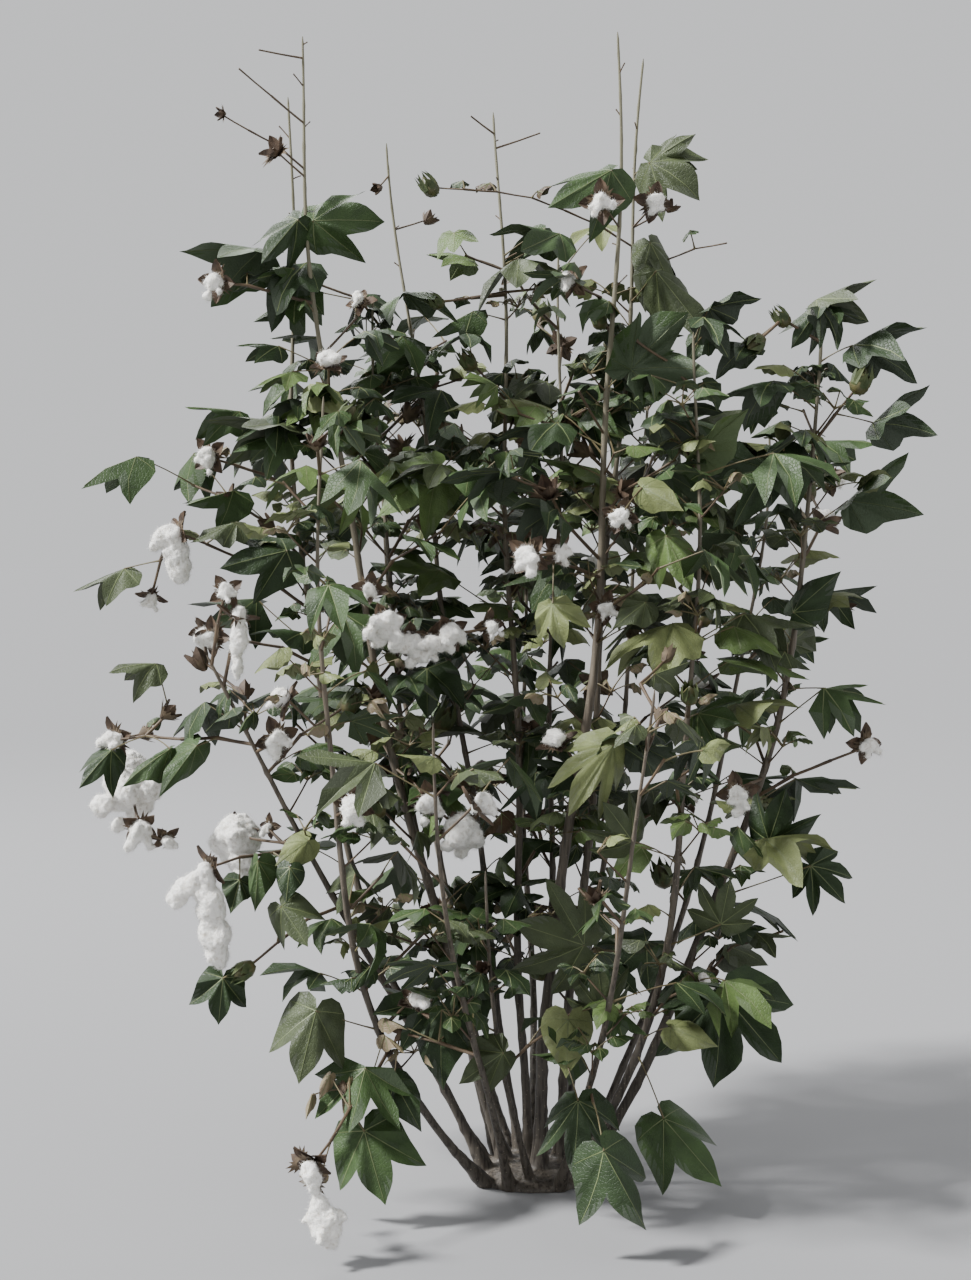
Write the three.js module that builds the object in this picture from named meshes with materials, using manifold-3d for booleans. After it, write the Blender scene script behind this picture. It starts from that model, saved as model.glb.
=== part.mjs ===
import * as THREE from "three";
import { mergeVertices } from "three/addons/utils/BufferGeometryUtils.js";
import Module from "manifold-3d";

// Cotton plant late in its season, in millimetres and degrees: +X is to the right, +Y is away from the
// viewer and +Z is up. The origin is on the ground, in the middle of the root crown.

const SEED = 41;

// The root crown is a low woody stool with a flared stub under each stem, cut flat at the ground.
const CROWN = { halfWidth: 86, halfDepth: 82, height: 40, around: 12, upward: 6 };
const STUB = { top: 74, flare: 0.7, flareHeight: 60, kneeHeight: 30 };

// Stems sway a little on their way up, and limbs meet end to end with a small gap.
const STEM = { boughSides: 6, massSides: 4, step: 150, sway: 5, swayLength: 190, phase: 2.4 };
const JOINT_GAP = 0.3;
const CLEARANCE = 0.45;
const SHORTEST_EDGE = 0.02;

// Leaves and branches stand at joints along a stem, three turns in eight joints.
const JOINTS = { first: 120, spacing: 54, turn: 135, turnPerStem: 77, stray: 18, endMargin: 12 };

// A fruiting branch zigzags and droops from joint to joint.
const BRANCH = {
  sides: 3, step: 66, shortest: 0.75, longest: 1.2, rise: 44, droop: 13, zigzag: 24, mostJoints: 2.6,
};
const SHOOT = { lift: 0.16, sag: 0.05 };
const RADIUS = { branch: 2.7, twig: 2.2, twigEnd: 1.4, stalk: 1 };
const ROOT_DEPTH = 4;

// A leaf's sizes, its stalk's length and slope, and how far its blade hangs and turns.
const LEAF = { length: 112, least: 0.62, most: 1.2, topShare: 0.7, spread: 55, beside: 40 };
const STALK = { shortest: 0.5, longest: 0.95, flattest: 10, steepest: 50, reach: 125, drop: 0.5 };
const HANG = { most: -58, least: -4, turn: 35, roll: 90, tilt: 0.5 };

// A blade's outline and folds as shares of its length.
const BLADE = { lobeAlong: 0.42, lobeAside: 0.54, notchAlong: 0.56, notchAside: 0.22, middle: 0.36 };
const FOLD = { lobeDrop: 0.1, notchDrop: 0.05, tipDrop: 0.08, rise: 0.011, ribDepth: 0.017 };
const STALK_SECTION = { aside: 1, above: 0.6, below: 1.2 };

// Fruit on the branches of the growing rule.
const FRUIT = { least: 26, most: 40, offset: 0.3, slope: 20, ripeLow: 0.75, ripeHigh: 0.3 };

// The crown is dense in a band of heights and fades out above and below it.
const CROWN_BAND = { from: 190, to: 1060, fade: 170 };
const SHARE = { leaf: 0.48, branch: 0.25, branchLeaf: 0.7, fruit: 0.28 };
const SPACE = { lowest: 6, reach: 340 };

const BARK = { color: 0x4b3a2c, roughness: 0.82, metalness: 0 };
const FOLIAGE = { color: 0x5c6b3f, roughness: 0.62, metalness: 0 };

// Each stem runs from its foot [right, back] to its tip [right, back, up].
// sweep says how early it leans out and upright the height where it begins to, wide gives its diameters
// at foot and tip, and masses the height where each mass of foliage on it starts.
const STEMS = {
  far_left: { foot: [-58, -18], tip: [-420, -120, 705], sweep: 1.0, wide: [13, 4],
    masses: { low: 170, top: 430 } },
  left_front: { foot: [-62, -50], tip: [-265, -190, 1025], sweep: 4.2, wide: [11, 3],
    masses: { low: 160, top: 560 } },
  left_tall: { foot: [-34, 4], tip: [-310, 30, 1508], sweep: 1.7, wide: [15, 3],
    masses: { low: 200, middle: 640, top: 1060 } },
  left_back: { foot: [-62, 22], tip: [-330, 110, 1445], sweep: 3.5, wide: [12, 3],
    masses: { low: 190, middle: 620, top: 1050 } },
  left_mid: { foot: [-16, 38], tip: [-200, 200, 1400], sweep: 1.1, wide: [11, 3],
    masses: { low: 210, top: 780 } },
  left_inner: { foot: [-46, 44], tip: [-215, 120, 1180], sweep: 2.2, wide: [10, 3],
    masses: { low: 200, top: 700 } },
  centre_left: { foot: [-8, 8], tip: [-50, 130, 1430], sweep: 1.0, wide: [12, 3],
    masses: { low: 220, top: 800 } },
  centre_back: { foot: [14, 38], tip: [45, 260, 1285], sweep: 1.0, wide: [11, 3],
    masses: { low: 210, top: 740 } },
  centre_tall: { foot: [6, -30], tip: [105, -40, 1495], sweep: 2.3, upright: 190, wide: [17, 3],
    masses: { low: 220, middle: 660, top: 1080 } },
  centre_right: { foot: [32, 6], tip: [145, 40, 1480], sweep: 1.1, wide: [13, 3],
    masses: { low: 210, middle: 650, top: 1070 } },
  right_inner: { foot: [48, -40], tip: [200, -110, 1110], sweep: 4.2, wide: [12, 3],
    masses: { low: 170, top: 600 } },
  far_right: { foot: [66, -6], tip: [370, -20, 1135], sweep: 2.2, wide: [14, 4],
    masses: { low: 190, top: 640 } },
  rear_left: { foot: [-30, 70], tip: [-235, 400, 1150], sweep: 1.8, wide: [11, 3],
    masses: { low: 180, top: 640 } },
  rear_centre: { foot: [2, 68], tip: [-10, 430, 1060], sweep: 1.6, wide: [11, 3],
    masses: { low: 180, top: 620 } },
  rear_right: { foot: [36, 56], tip: [180, 390, 1180], sweep: 1.7, wide: [11, 3],
    masses: { low: 180, top: 650 } },
  rear_far_right: { foot: [66, 34], tip: [340, 250, 1010], sweep: 1.9, wide: [11, 3],
    masses: { low: 180, top: 580 } },
  front_left: { foot: [-32, -66], tip: [-130, -320, 640], sweep: 1.5, wide: [10, 3],
    masses: { whole: 150 } },
  front_short: { foot: [-4, -58], tip: [-70, -175, 440], sweep: 1.5, wide: [8, 3],
    masses: { whole: 140 } },
  front_right: { foot: [32, -68], tip: [130, -330, 680], sweep: 1.4, wide: [10, 3],
    masses: { whole: 150 } },
};

// Fruit that shows from a step away: its stem, what it is, its place [right, back, up], its size,
// and how far its twig has risen from the stem.
const SEEN_FRUIT = [
  ["left_back", "strand", [-480, 0, 870], 75, 110],
  ["left_back", "open", [-515, 30, 785], 34, 60],
  ["far_left", "strand", [-375, -130, 775], 110, 100],
  ["far_left", "open", [-325, -140, 600], 40, 20],
  ["left_back", "open", [-440, 60, 715], 36, 40],
  ["far_left", "open", [-550, -60, 590], 42, 0],
  ["far_left", "open", [-555, 30, 525], 72, -30],
  ["far_left", "open", [-520, -20, 465], 46, -20],
  ["far_left", "open", [-400, 40, 450], 64, -10],
  ["far_left", "strand", [-420, -170, 440], 120, -10],
  ["far_left", "closed", [-365, -170, 315], 30, -60],
  ["left_front", "open", [-225, -235, 530], 46, 20],
  ["left_tall", "open", [-135, -40, 510], 48, -40],
  ["left_tall", "open", [-95, -30, 470], 54, -60],
  ["left_tall", "open", [-175, -90, 730], 66, 20],
  ["left_tall", "open", [-125, -80, 715], 44, 10],
  ["left_tall", "open", [-215, -50, 785], 30, 20],
  ["left_back", "open", [-440, 60, 960], 38, 45],
  ["left_tall", "open", [-420, 0, 1185], 36, 25],
  ["left_tall", "dry", [-340, -10, 1355], 34, 30],
  ["left_tall", "dry", [-405, -30, 1395], 18, 60],
  ["left_mid", "dry", [-215, 180, 1335], 22, -20],
  ["left_mid", "dry", [-145, 230, 1300], 26, 20],
  ["centre_left", "closed", [-140, 110, 1325], 30, 5],
  ["centre_left", "closed", [-130, 60, 1165], 24, -15],
  ["centre_tall", "open", [80, -90, 1275], 36, 25],
  ["centre_right", "open", [155, -20, 1285], 34, 25],
  ["centre_right", "dry", [180, 20, 1285], 24, 25],
  ["far_right", "closed", [320, -20, 1135], 26, 30],
  ["far_right", "closed", [280, -60, 1100], 32, 100],
  ["far_right", "closed", [415, -60, 1050], 34, 75],
  ["far_right", "open", [430, -70, 585], 34, 75],
  ["far_right", "open", [255, -110, 525], 40, -10],
  ["centre_tall", "open", [-15, -180, 830], 42, 30],
  ["centre_tall", "open", [30, -150, 835], 32, 25],
  ["centre_right", "open", [105, -120, 880], 32, 25],
  ["right_inner", "closed", [185, -190, 660], 28, 35],
  ["left_front", "strand", [-265, -250, 75], 60, -85],
];

// Bare twig ends that stand against the sky: their stem, their end and how far they have risen.
const SEEN_TWIGS = [
  ["left_tall", [-380, -40, 1450], 55],
  ["left_tall", [-360, 10, 1485], 5],
  ["centre_left", [-85, 110, 1420], 20],
  ["centre_left", [10, 150, 1405], 25],
  ["centre_right", [-95, -30, 1300], 65],
  ["centre_right", [250, 0, 1235], 35],
];

// Leaves that stand out: their stem, the blade's foot, the way from there to its tip, and what it faces.
const SEEN_LEAVES = [
  ["left_tall", [-290, 10, 1245], [90, -20, 20], "front"],
  ["left_back", [-320, 90, 1270], [-35, -20, -50], "front"],
  ["left_back", [-385, 100, 1235], [-90, -20, 0], "up"],
  ["left_tall", [-315, 0, 1205], [-95, -40, -25], "up"],
  ["left_mid", [-215, 150, 1200], [120, -40, 5], "up"],
  ["centre_left", [-20, 95, 1200], [-80, -60, 5], "front"],
  ["centre_left", [-5, 90, 1200], [65, -30, 10], "up"],
  ["left_back", [-385, 80, 1025], [-80, -20, 10], "up"],
  ["left_back", [-345, 80, 1000], [-100, -50, 0], "up"],
  ["left_tall", [-245, -20, 1090], [-45, -40, -65], "front"],
  ["left_mid", [-205, 140, 1090], [75, -40, 20], "up"],
  ["centre_back", [25, 180, 1280], [-95, -40, 10], "up"],
  ["centre_tall", [90, -60, 1320], [-65, -20, -50], "front"],
  ["centre_right", [165, 20, 1345], [70, -30, -50], "front"],
  ["centre_right", [165, 30, 1360], [55, -10, 30], "front"],
  ["centre_right", [160, 0, 1235], [75, -60, -130], "front"],
  ["centre_right", [140, -20, 1080], [85, -40, 70], "back"],
  ["centre_tall", [80, -70, 1080], [-60, -40, 25], "up"],
  ["right_inner", [220, -110, 1130], [60, -10, 20], "up"],
  ["right_inner", [215, -120, 1090], [70, -30, -15], "up"],
  ["right_inner", [190, -125, 1015], [-75, -50, 20], "up"],
  ["far_right", [375, -20, 1150], [75, -20, 35], "up"],
  ["far_right", [410, -30, 1105], [95, -30, 25], "front"],
  ["far_right", [415, -50, 1005], [75, -30, 55], "front"],
  ["far_right", [350, -60, 1010], [-110, -40, -25], "front"],
  ["far_right", [340, -60, 970], [-15, -30, -90], "front"],
  ["far_right", [395, -30, 880], [90, -20, 80], "front"],
  ["far_right", [335, -50, 755], [60, -20, 60], "front"],
  ["far_right", [265, -90, 645], [75, -60, 15], "up"],
  ["far_right", [355, 0, 650], [90, -30, 15], "up"],
  ["centre_tall", [95, -120, 595], [-85, -60, -65], "up"],
  ["centre_tall", [110, -110, 600], [90, -40, -30], "back"],
  ["centre_tall", [60, -120, 325], [-95, -60, 55], "front"],
  ["right_inner", [235, -120, 365], [60, -40, 55], "front"],
  ["right_inner", [235, -140, 290], [-5, -50, -120], "front"],
  ["right_inner", [185, -130, 165], [45, -80, -90], "front"],
  ["centre_tall", [45, -190, 155], [-15, -80, -95], "front"],
  ["left_front", [-275, -200, 280], [-15, -50, -115], "front"],
  ["left_front", [-205, -180, 125], [35, -60, -95], "front"],
  ["left_tall", [-130, -60, 235], [5, -40, -105], "front"],
  ["left_back", [-505, 40, 830], [-100, -40, -35], "up"],
  ["left_back", [-395, 60, 860], [-70, -60, -10], "up"],
  ["far_left", [-495, -60, 690], [-75, -30, -30], "up"],
  ["far_left", [-545, -80, 580], [-40, -30, -60], "front"],
  ["far_left", [-435, -110, 590], [-45, -50, -60], "front"],
  ["far_left", [-335, -170, 395], [60, -30, -60], "front"],
];

const FACING = {
  up: new THREE.Vector3(0, -0.25, 1),
  front: new THREE.Vector3(0, -1, 0.35),
  back: new THREE.Vector3(0, 0.8, 0.6),
};

// Half outlines of the fruit, from bottom to top, as [radius, height] shares of its size.
const FRUIT_OUTLINE = {
  open: [[0, -0.5], [0.48, -0.2], [0.44, 0.26], [0, 0.5]],
  strand: [[0, -1], [0.15, -0.8], [0.2, 0], [0, 0.25]],
  closed: [[0, -0.5], [0.42, -0.2], [0.32, 0.2], [0, 0.6]],
  dry: [[0, -0.45], [0.46, 0.05], [0, 0.3]],
};
const FRUIT_SIDES = { open: 5, strand: 5, closed: 4, dry: 4 };

// What a draw is for, so that no two choices at one joint share a number.
const CHOICE = {
  stray: 1, branch: 2, leaf: 3, leafSize: 11, stalkLength: 12, stalkSlope: 13, hang: 14, bladeTurn: 15,
  roll: 16, joints: 21, step: 22, branchLeaf: 31, fruit: 32, fruitSize: 33, fruitKind: 34,
};

const wasm = await Module();
wasm.setup();

// Chance

// A number from 0 to 1 that is always the same for the same keys.
function draw(...keys) {
  let mixed = SEED;
  for (const key of keys) {
    mixed = Math.imul(mixed ^ key, 0x9e3779b1) >>> 0;
    mixed = (mixed ^ (mixed >>> 15)) >>> 0;
  }
  mixed = Math.imul(mixed ^ (mixed >>> 13), 0x85ebca6b) >>> 0;
  return ((mixed ^ (mixed >>> 16)) >>> 0) / 2 ** 32;
}

const between = (low, high, share) => low + (high - low) * share;

// 1 in the dense band of the crown, falling to 0 a fade above it and below it.
function density(height) {
  const above = (height - CROWN_BAND.to) / CROWN_BAND.fade;
  const below = (CROWN_BAND.from - height) / CROWN_BAND.fade;
  return THREE.MathUtils.clamp(1 - Math.max(above, below), 0, 1);
}

// Solids

// A closed three.js geometry as a solid that can be joined and cut.
function solid(geometry) {
  const bare = geometry.clone();
  bare.deleteAttribute("normal");
  bare.deleteAttribute("uv");
  const merged = mergeVertices(bare);
  return new wasm.Manifold(
    new wasm.Mesh({
      numProp: 3,
      vertProperties: merged.getAttribute("position").array,
      triVerts: new Uint32Array(merged.index.array),
    }),
  );
}

// Joins pieces into one body, and drops a scrap that nothing holds or a pocket that the joint seals.
function fuse(pieces) {
  const whole = pieces.reduce((sum, piece) => sum.add(piece)).simplify(SHORTEST_EDGE);
  return whole.decompose().reduce((best, body) => (body.volume() > best.volume() ? body : best));
}

// A mesh of one fused body, placed by its root point.
function nodeMesh(name, pieces, root, finish) {
  const mesh = fuse(pieces).getMesh();
  const geometry = new THREE.BufferGeometry();
  geometry.setAttribute("position", new THREE.BufferAttribute(Float32Array.from(mesh.vertProperties), 3));
  geometry.setIndex(new THREE.BufferAttribute(Uint32Array.from(mesh.triVerts), 1));
  geometry.translate(-root.x, -root.y, -root.z);
  geometry.computeVertexNormals();
  const node = new THREE.Mesh(geometry, new THREE.MeshStandardMaterial(finish));
  node.name = name;
  node.position.copy(root);
  return node;
}

// Limbs

// The way that a line of points runs at each of them.
function ways(points) {
  const last = points.length - 1;
  return points.map((_, i) =>
    new THREE.Vector3().subVectors(points[Math.min(i + 1, last)], points[Math.max(i - 1, 0)]).normalize());
}

// Two directions square to a way and to each other.
function squareTo(way) {
  const level = Math.abs(way.y) > 0.9 ? new THREE.Vector3(1, 0, 0) : new THREE.Vector3(0, 1, 0);
  const side = new THREE.Vector3().crossVectors(way, level).normalize();
  return [side, new THREE.Vector3().crossVectors(side, way)];
}

// A tapering limb through a few points, with a radius at each and its rings square to the way there.
function limb(points, radii, sides, along = ways(points)) {
  const steps = points.length - 1;
  const tube = new THREE.CylinderGeometry(1, 1, 1, sides, steps);
  const place = tube.getAttribute("position");
  for (let i = 0; i < place.count; i++) {
    const ring = Math.round((place.getY(i) + 0.5) * steps);
    const [side, out] = squareTo(along[ring]);
    const vertex = points[ring].clone()
      .addScaledVector(side, place.getX(i) * radii[ring])
      .addScaledVector(out, place.getZ(i) * radii[ring]);
    place.setXYZ(i, vertex.x, vertex.y, vertex.z);
  }
  return tube;
}

// The middle of a stem at a height: it leans out by its sweep, and sways a little all the way.
function stemPoint(stem, height) {
  const upright = stem.upright ?? 0;
  const share = THREE.MathUtils.clamp((height - upright) / (stem.tip[2] - upright), 0, 1);
  const lean = 1 - (1 - share) ** stem.sweep;
  const sway = STEM.sway * Math.min(height / STEM.swayLength, 1);
  const phase = stem.index * STEM.phase;
  return new THREE.Vector3(
    between(stem.foot[0], stem.tip[0], lean) + sway * Math.sin((2 * height) / STEM.swayLength + phase),
    between(stem.foot[1], stem.tip[1], lean) + sway * Math.sin((3 * height) / STEM.swayLength + 2 * phase),
    height,
  );
}

function stemWay(stem, height) {
  const below = stemPoint(stem, Math.max(height - 1, 0));
  return new THREE.Vector3().subVectors(stemPoint(stem, height + 1), below).normalize();
}

function stemRadius(stem, height) {
  return between(stem.wide[0], stem.wide[1], height / stem.tip[2]) / 2;
}

// The stretch of a stem between two heights, as one limb.
function stemStretch(stem, from, to, sides) {
  const steps = Math.max(Math.round((to - from) / STEM.step), 2);
  const heights = Array.from({ length: steps + 1 }, (_, i) => between(from, to, i / steps));
  const points = heights.map((height) => stemPoint(stem, height));
  const radii = heights.map((height) => stemRadius(stem, height));
  return limb(points, radii, sides, heights.map((height) => stemWay(stem, height)));
}

// A thin shoot that leaves its carrier, sags a little and bends up to its end.
function shoot(from, to, radii) {
  const middle = from.clone().lerp(to, 0.5);
  middle.z += (to.z - from.z) * SHOOT.lift - from.distanceTo(to) * SHOOT.sag;
  const points = new THREE.QuadraticBezierCurve3(from, middle, to).getPoints(radii.length - 1);
  return limb(points, radii, BRANCH.sides);
}

// A unit direction from a compass turn and a rise above level.
function heading(turn, rise) {
  const across = Math.cos(THREE.MathUtils.degToRad(rise));
  const angle = THREE.MathUtils.degToRad(turn);
  const up = Math.sin(THREE.MathUtils.degToRad(rise));
  return new THREE.Vector3(across * Math.cos(angle), across * Math.sin(angle), up);
}

// Leaves and fruit

// The triangles of a leaf from its twelve corners: three at the stalk's root, the blade's outline from
// one side of its foot round to the other, and the middles of its upper and under faces.
function leafFaces() {
  const [left, right, under, footLeft, , , , , , footRight, top, bottom] = Array(12).keys();
  const faces = [
    [left, under, right],
    [left, footRight, footLeft], [left, right, footRight],
    [left, bottom, under], [left, footLeft, bottom],
    [under, footRight, right], [under, bottom, footRight],
    [top, footLeft, footRight],
  ];
  for (let edge = footLeft; edge < footRight; edge++) {
    faces.push([top, edge + 1, edge], [bottom, edge, edge + 1]);
  }
  return faces.flat();
}

// A folded three-lobed blade on a three-sided stalk whose under edge runs on as the midrib.
function leaf(root, foot, tip, facing) {
  const length = foot.distanceTo(tip);
  const along = new THREE.Vector3().subVectors(tip, foot).normalize();
  const aside = new THREE.Vector3().crossVectors(facing, along).normalize();
  const upper = new THREE.Vector3().crossVectors(along, aside);
  const on = (ahead, sideways, lift) => foot.clone()
    .addScaledVector(along, ahead * length)
    .addScaledVector(aside, sideways * length)
    .addScaledVector(upper, lift * length);
  const stalkWay = new THREE.Vector3().subVectors(foot, root).normalize();
  const stalkAside = new THREE.Vector3().crossVectors(facing, stalkWay).normalize();
  const stalkUnder = new THREE.Vector3().crossVectors(stalkAside, stalkWay).normalize();
  const at = (side, below) => root.clone()
    .addScaledVector(stalkAside, side * RADIUS.stalk)
    .addScaledVector(stalkUnder, below * RADIUS.stalk);
  const half = RADIUS.stalk / length;
  const geometry = new THREE.BufferGeometry().setFromPoints([
    at(STALK_SECTION.aside, -STALK_SECTION.above),
    at(-STALK_SECTION.aside, -STALK_SECTION.above),
    at(0, STALK_SECTION.below),
    on(0, half, 0),
    on(BLADE.lobeAlong, BLADE.lobeAside, -FOLD.lobeDrop),
    on(BLADE.notchAlong, BLADE.notchAside, -FOLD.notchDrop),
    on(1, 0, -FOLD.tipDrop),
    on(BLADE.notchAlong, -BLADE.notchAside, -FOLD.notchDrop),
    on(BLADE.lobeAlong, -BLADE.lobeAside, -FOLD.lobeDrop),
    on(0, -half, 0),
    on(BLADE.middle, 0, FOLD.rise),
    on(BLADE.middle, 0, -FOLD.ribDepth),
  ]);
  geometry.setIndex(leafFaces());
  return geometry;
}

function fruit(kind, centre, size, turn) {
  const outline = FRUIT_OUTLINE[kind].map(([radius, height]) => new THREE.Vector2(radius, height));
  const body = new THREE.LatheGeometry(outline, FRUIT_SIDES[kind]);
  body.scale(size, size, size);
  body.rotateX(Math.PI / 2);
  body.rotateZ(turn);
  body.translate(centre.x, centre.y, centre.z);
  return body;
}

// Growing

const stems = Object.entries(STEMS).map(([name, sizes], index) => ({ name, index, ...sizes }));
const masses = [];
const placed = [];

// Whether a piece stays above the ground and near its own stem.
function inSpace(node, box) {
  const middle = new THREE.Vector3().addVectors(new THREE.Vector3(...box.min), new THREE.Vector3(...box.max));
  middle.multiplyScalar(0.5);
  const away = middle.distanceTo(stemPoint(node.stem, THREE.MathUtils.clamp(middle.z, 0, node.stem.tip[2])));
  return box.min[2] >= SPACE.lowest && away <= SPACE.reach;
}

// Whether a piece comes too close to a piece of another node.
function touches(node, piece, box) {
  const near = (other) => other.node !== node && [0, 1, 2].every((axis) =>
    box.min[axis] - CLEARANCE < other.box.max[axis] && other.box.min[axis] - CLEARANCE < box.max[axis]);
  return placed.some((other) => near(other) && piece.minGap(other.piece, CLEARANCE) < CLEARANCE);
}

// Adds a piece to its node, where later pieces keep clear of it.
function hold(node, piece) {
  placed.push({ node, piece, box: piece.boundingBox() });
  node.pieces.push(piece);
}

// Adds a twig, leaf or fruit to its mass, unless it would leave the space or touch another limb.
function grow(mass, geometry) {
  const piece = solid(geometry);
  const box = piece.boundingBox();
  if (!inSpace(mass, box) || touches(mass, piece, box)) return false;
  hold(mass, piece);
  return true;
}

// The mass that a height on a stem belongs to, and the point on it nearest that height.
function rootOn(stemName, height) {
  const own = masses.filter((mass) => mass.stem.name === stemName);
  const mass = own.find(({ to }) => height < to - JOINTS.endMargin) ?? own[own.length - 1];
  const level = THREE.MathUtils.clamp(height, mass.from + JOINTS.endMargin, mass.to - JOINTS.endMargin);
  return { mass, root: stemPoint(mass.stem, level) };
}

function growSeenFruit([stemName, kind, centre, size, rise], index) {
  const { mass, root } = rootOn(stemName, centre[2] - rise);
  const end = new THREE.Vector3(...centre);
  if (!grow(mass, shoot(root, end, [RADIUS.branch, RADIUS.twig, RADIUS.twig]))) return;
  grow(mass, fruit(kind, end, size, index));
}

function growSeenTwig([stemName, end, rise]) {
  const { mass, root } = rootOn(stemName, end[2] - rise);
  grow(mass, shoot(root, new THREE.Vector3(...end), [RADIUS.twig, RADIUS.twig, RADIUS.twigEnd]));
}

// The point just inside a twig's end, where the root of what it bears is sunk.
function sunk(end, from) {
  return end.clone().addScaledVector(new THREE.Vector3().subVectors(from, end).normalize(), ROOT_DEPTH);
}

// A leaf that shows: a twig carries it where its stalk alone would be too long.
function growSeenLeaf([stemName, foot, way, face]) {
  const footPoint = new THREE.Vector3(...foot);
  const tip = footPoint.clone().add(new THREE.Vector3(...way));
  const { stem } = rootOn(stemName, foot[2]).mass;
  const away = footPoint.distanceTo(stemPoint(stem, Math.min(foot[2], stem.tip[2])));
  const { mass, root } = rootOn(stemName, foot[2] - away * STALK.drop);
  const share = Math.min(STALK.reach / root.distanceTo(footPoint), 1);
  const joint = footPoint.clone().lerp(root, share);
  if (share < 1 && !grow(mass, shoot(root, joint, [RADIUS.branch, RADIUS.twig, RADIUS.twig]))) return;
  grow(mass, leaf(sunk(joint, root), footPoint, tip, FACING[face]));
}

// A leaf of the growing rule: its stalk rises outwards and its blade hangs from there.
function growLeaf(mass, root, turn, keys) {
  const pick = (choice, low, high) => between(low, high, draw(...keys, CHOICE[choice]));
  const vigour = between(LEAF.topShare, 1, density(root.z));
  const size = LEAF.length * vigour * pick("leafSize", LEAF.least, LEAF.most);
  const rise = pick("stalkSlope", STALK.flattest, STALK.steepest);
  const stalk = pick("stalkLength", STALK.shortest, STALK.longest) * size;
  const foot = root.clone().addScaledVector(heading(turn, rise), stalk);
  const way = heading(turn + pick("bladeTurn", -HANG.turn, HANG.turn), pick("hang", HANG.most, HANG.least));
  const facing = new THREE.Vector3(0, 0, 1);
  facing.addScaledVector(heading(turn + pick("roll", -HANG.roll, HANG.roll), 0), HANG.tilt);
  grow(mass, leaf(root, foot, foot.clone().addScaledVector(way, size), facing));
}

// Low fruit is mostly open, and high fruit is closed or dry.
function fruitKind(height, chance) {
  const ripe = between(FRUIT.ripeLow, FRUIT.ripeHigh, Math.min(height / CROWN_BAND.to, 1));
  if (chance < ripe) return "open";
  return chance < (1 + ripe) / 2 ? "closed" : "dry";
}

// A fruiting branch of the growing rule, with leaves and fruit at its joints.
function growBranch(mass, root, turn, keys) {
  const joints = 1 + Math.floor(draw(...keys, CHOICE.joints) * BRANCH.mostJoints);
  const points = [root];
  const turns = [];
  for (let joint = 0; joint < joints; joint++) {
    turns.push(turn + (joint % 2 ? 1 : -1) * BRANCH.zigzag);
    const step = BRANCH.step * between(BRANCH.shortest, BRANCH.longest, draw(...keys, CHOICE.step, joint));
    const way = heading(turns[joint], BRANCH.rise - BRANCH.droop * joint);
    points.push(points[joint].clone().addScaledVector(way, step));
  }
  const radii = points.map((_, i) => between(RADIUS.branch, RADIUS.twig, i / joints));
  if (!grow(mass, limb(points, radii, BRANCH.sides))) return;
  turns.forEach((way, joint) => growJoint(mass, sunk(points[joint + 1], points[joint]), way, joint, keys));
}

function growJoint(mass, end, turn, joint, keys) {
  const side = joint % 2 ? -1 : 1;
  if (draw(...keys, CHOICE.branchLeaf, joint) < SHARE.branchLeaf) {
    growLeaf(mass, end, turn + side * LEAF.spread, [...keys, joint]);
  }
  if (draw(...keys, CHOICE.fruit, joint) < SHARE.fruit) {
    const size = between(FRUIT.least, FRUIT.most, draw(...keys, CHOICE.fruitSize, joint));
    const centre = end.clone().addScaledVector(heading(turn, FRUIT.slope), size * FRUIT.offset);
    grow(mass, fruit(fruitKind(end.z, draw(...keys, CHOICE.fruitKind, joint)), centre, size, turn));
  }
}

// Every joint along a mass's own stretch of stem may bear a leaf and a fruiting branch.
function growMass(mass) {
  const { stem } = mass;
  const joints = Math.floor((stem.tip[2] - JOINTS.first) / JOINTS.spacing);
  for (let joint = 0; joint < joints; joint++) {
    const height = JOINTS.first + joint * JOINTS.spacing;
    if (height < mass.from + JOINTS.endMargin || height > mass.to - JOINTS.endMargin) continue;
    const keys = [stem.index, joint];
    const root = stemPoint(stem, height);
    const stray = between(-JOINTS.stray, JOINTS.stray, draw(...keys, CHOICE.stray));
    const turn = stem.index * JOINTS.turnPerStem + joint * JOINTS.turn + stray;
    if (draw(...keys, CHOICE.branch) < SHARE.branch * density(height)) growBranch(mass, root, turn, keys);
    if (draw(...keys, CHOICE.leaf) < SHARE.leaf * density(height)) {
      growLeaf(mass, root, turn + LEAF.beside, keys);
    }
  }
}

// The plant

// A stem's flared stub, from inside the stool up to where the stem's own limb begins.
function stub(stem) {
  const heights = [-CROWN.height / 2, STUB.kneeHeight, STUB.top];
  const points = heights.map((height) => stemPoint(stem, Math.max(height, 0)).setZ(height));
  const flare = (height) => 1 + STUB.flare * Math.max(1 - height / STUB.flareHeight, 0) ** 2;
  const radii = heights.map((height) => stemRadius(stem, height) * flare(height));
  return limb(points, radii, STEM.boughSides, heights.map((height) => stemWay(stem, Math.max(height, 0))));
}

function rootCrown() {
  const dome = new THREE.SphereGeometry(1, CROWN.around, CROWN.upward);
  dome.rotateX(Math.PI / 2);
  dome.scale(CROWN.halfWidth, CROWN.halfDepth, CROWN.height);
  const below = new THREE.BoxGeometry(4 * CROWN.halfWidth, 4 * CROWN.halfDepth, 4 * CROWN.height);
  below.translate(0, 0, -2 * CROWN.height);
  const whole = stems.reduce((sum, stem) => sum.add(solid(stub(stem))), solid(dome)).subtract(solid(below));
  const crown = { pieces: [] };
  hold(crown, whole);
  return nodeMesh("root_crown", crown.pieces, new THREE.Vector3(), BARK);
}

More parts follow.
